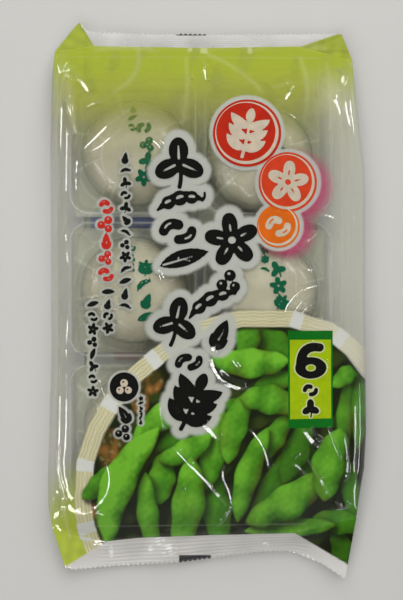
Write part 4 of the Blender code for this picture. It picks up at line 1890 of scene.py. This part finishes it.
@dataclass
class WrappedBun:
    """One steamed bun in its own thin wrapper."""

    index: int
    centre: Point
    radius: float = 24.3
    base: float = 2.0
    waist: float = 11.0
    top: float = 30.0
    wrapper_gap: float = 0.8
    wrapper_half: Point = (29.4, 30.0)
    wrapper_reach: float = 1.4
    skirt_drop: float = 6.0
    pleat_height: float = 0.8
    crumple_height: float = 0.26
    crumple_length: float = 16.0
    gather_reach: float = 19.0
    gather_height: float = 0.5
    milky_and_light: Colour = srgb(212, 214, 192)
    green: Colour = srgb(18, 92, 62)

    def bun(self) -> Piece:
        """The bun, a flattened dome on a broad base."""
        ball = bmesh.new()
        bmesh.ops.create_uvsphere(ball, u_segments=64, v_segments=40, radius=1.0)
        for vert in ball.verts:
            level = vert.co.z
            ring = max(1.0 - abs(level) ** 2.3, 0.0) ** 0.46
            turn = math.atan2(vert.co.y, vert.co.x)
            sway = 1.0 + 0.014 * math.sin(2 * turn + self.index)
            sway += 0.010 * math.sin(3 * turn + 2 * self.index)
            reach = self.radius * ring * sway
            rise = (self.top - self.waist) if level > 0.0 else (self.waist - self.base)
            height = self.waist + rise * level
            if level > 0.0:
                height += 0.35 * math.sin(1.5 * turn + self.index) * level * (1 - level)
            vert.co = (
                (self.centre[0] + reach * math.cos(turn)) * MM,
                (self.centre[1] + reach * math.sin(turn)) * MM,
                height * MM,
            )
        mesh = bpy.data.meshes.new(f"bun_{self.index}")
        ball.to_mesh(mesh)
        ball.free()
        return SheetMaker.show(mesh.name, mesh, BunFinish())

    def around(self, x: Array, y: Array) -> Pair:
        """Distance from the bun's middle line, and how folded the wrapper is in that direction."""
        dx, dy = x - self.centre[0], y - self.centre[1]
        turn = np.arctan2(dy, dx)
        return np.hypot(dx, dy), np.abs(np.sin(3.5 * turn + 1.3 * self.index + 0.8 * np.sin(2 * turn)))

    def crumples(self, x: Array, y: Array) -> Array:
        """Distance from the nearest small crease of the wrapper, as a share of its waves."""
        return np.abs(waves(x, y, self.crumple_length, 70 + self.index))

    def wrapper_height(self, x: Array, y: Array) -> Array:
        """Height of the wrapper over and round the bun."""
        away, fold = self.around(x, y)
        share = np.clip(away / (self.radius + self.wrapper_reach), 0.0, 1.0)
        rise = self.top + self.wrapper_gap - self.waist
        dome = self.waist + rise * np.clip(1.0 - share**2.5, 0.0, 1.0) ** 0.44
        skirt = self.skirt_drop * smooth(away, self.radius, self.radius + 6.0)
        pleat = self.pleat_height * (0.5 - fold) * smooth(away, 11.0, 26.0)
        crumple = self.crumple_height * self.crumples(x, y) * smooth(away, 3.0, 14.0)
        return dome - skirt + pleat - crumple + self.gather_height * self.fan(x, y)

    def fan(self, x: Array, y: Array) -> Array:
        """Fine folds that fan out from where the wrapper is gathered."""
        side = 2.0 * self.index - 8.65
        dx = x - self.centre[0] - self.gather_reach * math.cos(side)
        dy = y - self.centre[1] - self.gather_reach * math.sin(side)
        away = np.hypot(dx, dy)
        fold = 0.5 - np.abs(np.sin(7.0 * np.arctan2(dy, dx)))
        return fold * smooth(away, 1.0, 5.0) * smooth(away, 17.0, 6.0)

    def wrapper(self) -> Piece:
        """The thin wrapper."""
        half_x, half_y = self.wrapper_half

        def placing(u: Array, v: Array) -> Places:
            """Points on the wrapper."""
            x = self.centre[0] + (2 * u - 1) * half_x
            y = self.centre[1] + (2 * v - 1) * half_y
            return x, y, self.wrapper_height(x, y)

        finish = FilmFinish("wrapper_film", gloss=1.1, roughness=0.2, painted=True)
        piece = SheetMaker.make(f"wrapper_{self.index}", 120, 126, placing, finish)
        canvas = Canvas(*SheetMaker.places(piece)[:2])
        canvas.lay(self.milky_and_light, self.wrapper_haze_and_light(canvas.px, canvas.py))
        return SheetMaker.ink(piece, canvas)

    def wrapper_haze_and_light(self, x: Array, y: Array) -> Array:
        """How milky the wrapper is: its haze raised overall as painted light that lifts the shaded gaps
        round the bun, and whitest along its pleats, small creases, fan and skirt.
        """
        away, fold = self.around(x, y)
        pleats = smooth(fold, 0.20, 0.02) * smooth(away, 9.0, 20.0)
        creases = smooth(self.crumples(x, y), 0.12, 0.02) * smooth(away, 5.0, 16.0)
        fan = smooth(self.fan(x, y), 0.2, 0.5)
        skirt = smooth(away, self.radius - 3.0, self.radius + 3.0)
        # The whole cover is raised as painted light that lightens the gaps between the buns.
        return 0.32 + 0.18 * pleats + 0.14 * creases + 0.28 * fan + 0.28 * skirt

    def marks(self, view: PhotoView) -> Piece:
        """Green plant shapes on the wrapper: a short column of small ones and a long one of large ones."""
        level = self.top - 2.0
        px, py = view.pixel(np.array([self.centre[0]]), np.array([self.centre[1]]), level)
        x, y = float(px[0]), float(py[0])
        motifs = list(Motif)
        marks = []
        for row in range(3):
            motif = motifs[(row * 3 + self.index) % len(motifs)]
            marks.append(Mark(motif, (x - 1.0, y - 42.0 + 10.0 * row), (4.6, 4.6), 20.0 * row - 15.0))
        for row in range(4):
            motif = motifs[(row * 3 + 2 * self.index + 1) % len(motifs)]
            sway = 2.5 * math.sin(2.0 * row + self.index)
            spot = (x + 13.0 + sway, y - 22.0 + 16.5 * row)
            marks.append(Mark(motif, spot, (8.4, 8.2), 14.0 * sway, 1.05))
        shape, ink = FigureSet(marks, 8.0), InkFinish("wrapper_green", self.green)
        stencil = Stencil(f"wrapper_marks_{self.index}", shape.box(), shape.distance, -0.12, ink, 0.7)
        return stencil.make(self.wrapper_height, view, level)

    def build(self, view: PhotoView) -> list[Piece]:
        """Make the bun, its wrapper and the marks on it."""
        return [self.bun(), self.wrapper(), self.marks(view)]


@dataclass(frozen=True)
class Block:
    """A soft-edged rectangle of ink on the back panel, in millimetres."""

    colour: Colour
    cover: float
    centre: Point
    half: Point
    outer: float = 0.5
    inner: float = -0.3
    radius: float = 0.0

    def paint(self, canvas: Canvas) -> None:
        """Lay the block."""
        away = box_distance(canvas.px, canvas.py, self.centre, self.half, self.radius)
        canvas.lay(self.colour, self.cover * smooth(away, self.outer, self.inner))


@dataclass
class BackPanel:
    """Pale panel printed on the back film, with plain bars and blocks of colour."""

    shape: PackShape
    panel_x: Point = (-59.0, 53.0)
    pale: Colour = srgb(190, 192, 182)
    border: Colour = srgb(120, 158, 88)
    bar: Colour = srgb(96, 100, 104)
    blue: Colour = srgb(40, 66, 150)
    sky: Colour = srgb(128, 168, 216)
    dull_red: Colour = srgb(150, 92, 84)

    def blocks(self) -> list[Block]:
        """Two columns of bars, and the blocks of colour that show through the pack."""
        made = []
        for row in range(9):
            level, length = 24.0 - 3.4 * row, 20.0 + 6.0 * math.sin(2.3 * row)
            made.append(Block(self.bar, 0.6, (0.5 * length - 47.0, level), (0.5 * length, 0.7)))
            made.append(Block(self.bar, 0.5, (34.0, level - 50.0), (0.4 * length, 0.7)))
        return made + [
            Block(self.sky, 0.95, (-39.0, 41.4), (17.0, 1.0)),
            Block(self.blue, 0.95, (-31.0, 35.6), (8.6, 4.6), 0.5, -0.5),
            Block(self.blue, 0.5, (-50.0, 35.0), (7.0, 5.0), 2.0, -2.0),
            Block(self.blue, 0.8, (-2.6, 67.0), (1.6, 14.0), 0.6, -0.6),
            Block(self.dull_red, 0.6, (-39.0, -26.0), (6.0, 3.6), 1.2, -0.6, 1.5),
            Block(self.blue, 0.4, (-54.5, 34.0), (2.0, 8.0), 0.8, -0.4, 1.0),
        ]

    def build(self) -> list[Piece]:
        """Make the printed sheet just inside the back film."""

        def placing(u: Array, v: Array) -> Places:
            """Points just above the back film."""
            x, y = self.shape.body_plan(u, v)
            inset = 0.45 * smooth(self.shape.edge_distance(x, y), 0.0, 2.0)
            return x, y, self.shape.back_height(x, y) + inset

        finish = FilmFinish("back_fields", gloss=0.0, painted=True)
        piece = SheetMaker.make("back_print", 170, 270, placing, finish, face_up=False)
        canvas = Canvas(*SheetMaker.places(piece)[:2])
        left, right = self.panel_x
        away = np.abs(canvas.px - 0.5 * (left + right)) - 0.5 * (right - left)
        canvas.lay(self.pale, 0.66 * smooth(away, 0.5, -0.5))
        canvas.lay(self.border, 0.55 * smooth(np.abs(away), 0.9, 0.4))
        for block in self.blocks():
            block.paint(canvas)
        return [SheetMaker.ink(piece, canvas)]


@dataclass(frozen=True)
class Lamp:
    """A rectangular lamp that faces the pack, from a compass direction and an elevation in degrees."""

    name: str
    azimuth: float
    elevation: float
    distance: float
    size: Point
    radiance: float
    glints: bool

    def place(self) -> Place:
        """Its middle, in millimetres."""
        turn, rise = math.radians(self.azimuth), math.radians(self.elevation)
        across = self.distance * math.cos(rise)
        return (across * math.cos(turn), across * math.sin(turn), self.distance * math.sin(rise))

    def make(self) -> None:
        """Make the lamp; one for glints shows only in gloss, the others light everything else."""
        data = bpy.data.lights.new(self.name, "AREA")
        data.shape = "RECTANGLE"
        data.size = self.size[0] * MM
        data.size_y = self.size[1] * MM
        data.energy = math.pi * self.radiance * data.size * data.size_y
        data.color = (1.0, 0.99, 0.975)
        lamp = bpy.data.objects.new(self.name, data)
        lamp.location = Vector(self.place()) * MM
        lamp.rotation_mode = "QUATERNION"
        lamp.rotation_quaternion = lamp.location.to_track_quat("Z", "Y")
        lamp.visible_diffuse = not self.glints
        lamp.visible_glossy = self.glints
        bpy.context.scene.collection.objects.link(lamp)


def glint_ring(rise: float, turns: tuple[float, ...]) -> tuple[Lamp, ...]:
    """Slim lamps at one elevation, for the film's creases to mirror."""
    shared = {"distance": 800.0, "size": (165.0, 50.0), "radiance": 15.0, "glints": True}
    return tuple(Lamp(f"slim_{rise:.0f}_{turn:.0f}", turn, rise, **shared) for turn in turns)


# The slim lamps stand where the smooth film mirrors little of them
GLINT_RINGS = (
    (*glint_ring(30.0, (36, 48, 144, 156, 166, 192, 204, 216, 228, 330)), *glint_ring(21.0, (240, 252))),
    glint_ring(9.0, (24, 48, 120, 132, 162, 192, 204, 228, 300, 320, 336, 348)),
)


@dataclass(frozen=True)
class Studio:
    """Pale table, soft surround, two soft lamps and slim ones that catch the film's creases."""

    floor_half: float = 1500.0
    floor_drop: float = 0.05
    surround: float = 0.22
    zenith: float = 0.03
    lamps: tuple[Lamp, ...] = (
        Lamp("soft_far", 80.0, 56.0, 1150.0, (1200.0, 1200.0), 3.1, False),
        Lamp("soft_near", 245.0, 62.0, 1150.0, (1000.0, 1000.0), 1.9, False),
        *itertools.chain(*GLINT_RINGS),
    )

    def glint_places(self) -> tuple[tuple[Place, ...], ...]:
        """Middles of the slim lamps, ring by ring."""
        return tuple(tuple(lamp.place() for lamp in ring) for ring in GLINT_RINGS)

    def floor(self) -> None:
        """The table."""

        def placing(u: Array, v: Array) -> Places:
            """Points of the table top."""
            x = (2 * u - 1) * self.floor_half
            y = (2 * v - 1) * self.floor_half
            return x, y, np.full(x.shape, -self.floor_drop)

        piece = SheetMaker.make("table", 8, 8, placing, TableFinish())

    def surround_light(self) -> None:
        """Dim even surround that is darker straight above."""
        world = bpy.data.worlds.new("surround")
        world.use_nodes = True
        tree = world.node_tree
        background = tree.nodes["Background"]
        place = tree.nodes.new("ShaderNodeTexCoord")
        split = tree.nodes.new("ShaderNodeSeparateXYZ")
        ramp = tree.nodes.new("ShaderNodeValToRGB")
        heights, shares = (0.35, 0.88), (1.0, self.zenith / self.surround)
        for element, height, share in zip(ramp.color_ramp.elements, heights, shares):
            element.position, element.color = height, (share, share, share, 1.0)
        tree.links.new(place.outputs["Generated"], split.inputs[0])
        tree.links.new(split.outputs["Z"], ramp.inputs["Fac"])
        tree.links.new(ramp.outputs["Color"], background.inputs["Color"])
        background.inputs["Strength"].default_value = self.surround
        bpy.context.scene.world = world

    def build(self) -> None:
        """Make the table, the surround and the lamps, and set how the picture is shown."""
        self.floor()
        self.surround_light()
        for lamp in self.lamps:
            lamp.make()
        scene = bpy.context.scene
        scene.view_settings.view_transform = "Standard"
        scene.cycles.transparent_max_bounces = 32


CREASES = (
    Crease(((61, 65), (69, 67), (80, 79), (90, 94)), 1.1),
    Crease(((64, 73), (67, 74), (71, 77)), 0.6),
    Crease(((66, 95), (70, 115), (76, 135)), 1.1),
    Crease(((82, 149), (96, 137), (109, 124), (130, 109))),
    Crease(((84, 149), (90, 151), (98, 148), (106, 142), (120, 129)), 0.6),
    Crease(((86, 106), (93, 103), (101, 101)), 0.6),
    Crease(((204, 60), (205, 70), (206.5, 80)), 0.7),
    Crease(((77, 158), (75, 175), (76, 192)), 0.7),
    Crease(((153, 141), (157, 144), (161, 149))),
    Crease(((274, 87), (282, 86), (290, 82)), 1.5, 0.96),
    Crease(((295, 83), (289, 93), (283, 104)), 0.8),
    Crease(((337, 97), (339, 92), (341, 87)), 0.7),
    Crease(((282, 111), (289, 114), (296, 118)), 0.6),
    Crease(((319, 214), (328, 215), (336, 218)), 0.6),
    Crease(((304, 243), (312, 238), (319, 232)), 0.6),
    Crease(((290, 270), (302, 268), (314, 271)), 0.6),
    Crease(((284, 315), (288, 302), (303, 289), (320, 285)), 0.7),
    Crease(((293, 314), (300, 303), (312, 293)), 0.5),
    Crease(((299, 316), (306, 308), (316, 302)), 0.5),
    Crease(((158, 269), (161, 281), (166, 284), (175, 278)), 0.7),
    Crease(
        ((216, 342), (212, 352), (211.5, 363), (215, 373), (224, 383), (236, 388), (249, 389)),
        1.35,
        0.97,
    ),
    Crease(((203, 425), (211, 432), (219, 439)), 1.6, 0.96),
    Crease(((232, 360), (235, 364), (239, 369)), 0.7),
    Crease(((250, 430), (258, 438), (265, 451), (269, 468))),
    Crease(((304, 430), (310, 440), (319, 447)), 1.6, 0.96),
    Crease(((308, 460), (318, 477), (330, 495)), 0.7),
    Crease(((294, 464), (300, 469), (306, 474)), 0.7),
    Crease(((328, 427), (334, 444), (341, 460)), 0.6),
    Crease(((345, 435), (349, 458), (349, 478), (345, 481)), 0.6),
    Crease(((357, 402), (357, 440), (356, 478)), 0.6),
    Crease(((337, 503), (344, 510), (352, 504))),
    Crease(((224, 466), (222, 477), (228, 490), (232, 503), (229, 516), (218, 526)), 0.8),
    Crease(((174, 448), (186, 462), (199, 474), (226, 505)), 1.0),
    Crease(((106, 463), (110, 477), (107, 495), (99, 505), (90, 514)), 0.7),
    Crease(((57, 447), (56, 470), (60, 487), (66, 503)), 1.0),
    Crease(((50, 501), (52, 508), (55, 516)), 0.7),
    Crease(((57, 509), (61, 510.5), (66, 511)), 0.5),
    Crease(((160, 407), (161, 418), (164, 429)), 0.6),
    Crease(((99, 380), (102, 390), (107, 400)), 0.6),
    Crease(((72, 104), (73, 120), (72, 138)), 0.6),
)


# How far each bun has slid from the middle of its cell, in millimetres, from the lowest row up
BUN_SHIFTS = ((0.6, -0.4), (-0.8, 0.5), (-0.4, 0.2), (-0.8, -0.5), (0.0, 0.6), (-3.2, -2.0))


def main() -> None:
    """Build the whole scene."""
    logging.basicConfig(level=logging.INFO, format="%(name)s: %(message)s")
    view = PhotoView()
    view.make_camera()
    studio = Studio()
    studio.build()
    shape = PackShape()
    relief = FilmRelief(view, shape, CREASES, studio.glint_places())
    printing = FrontPrint(view, relief)
    pieces = Film(view, relief, printing).build()
    pieces += printing.build()
    pieces += Tray().build()
    cells = itertools.product(shape.dome_rows, shape.dome_columns)
    for index, ((y, x), (shift_x, shift_y)) in enumerate(zip(cells, BUN_SHIFTS), start=1):
        pieces += WrappedBun(index, (x + shift_x, y + shift_y)).build(view)
    pieces += BackPanel(shape).build()
    for piece in pieces:
        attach(piece, "root")
        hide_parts(NODE)
        LOG.info("%s: %d faces", piece.name, len(piece.data.polygons))
    bpy.context.view_layer.update()


if __name__ == "__main__":
    main()
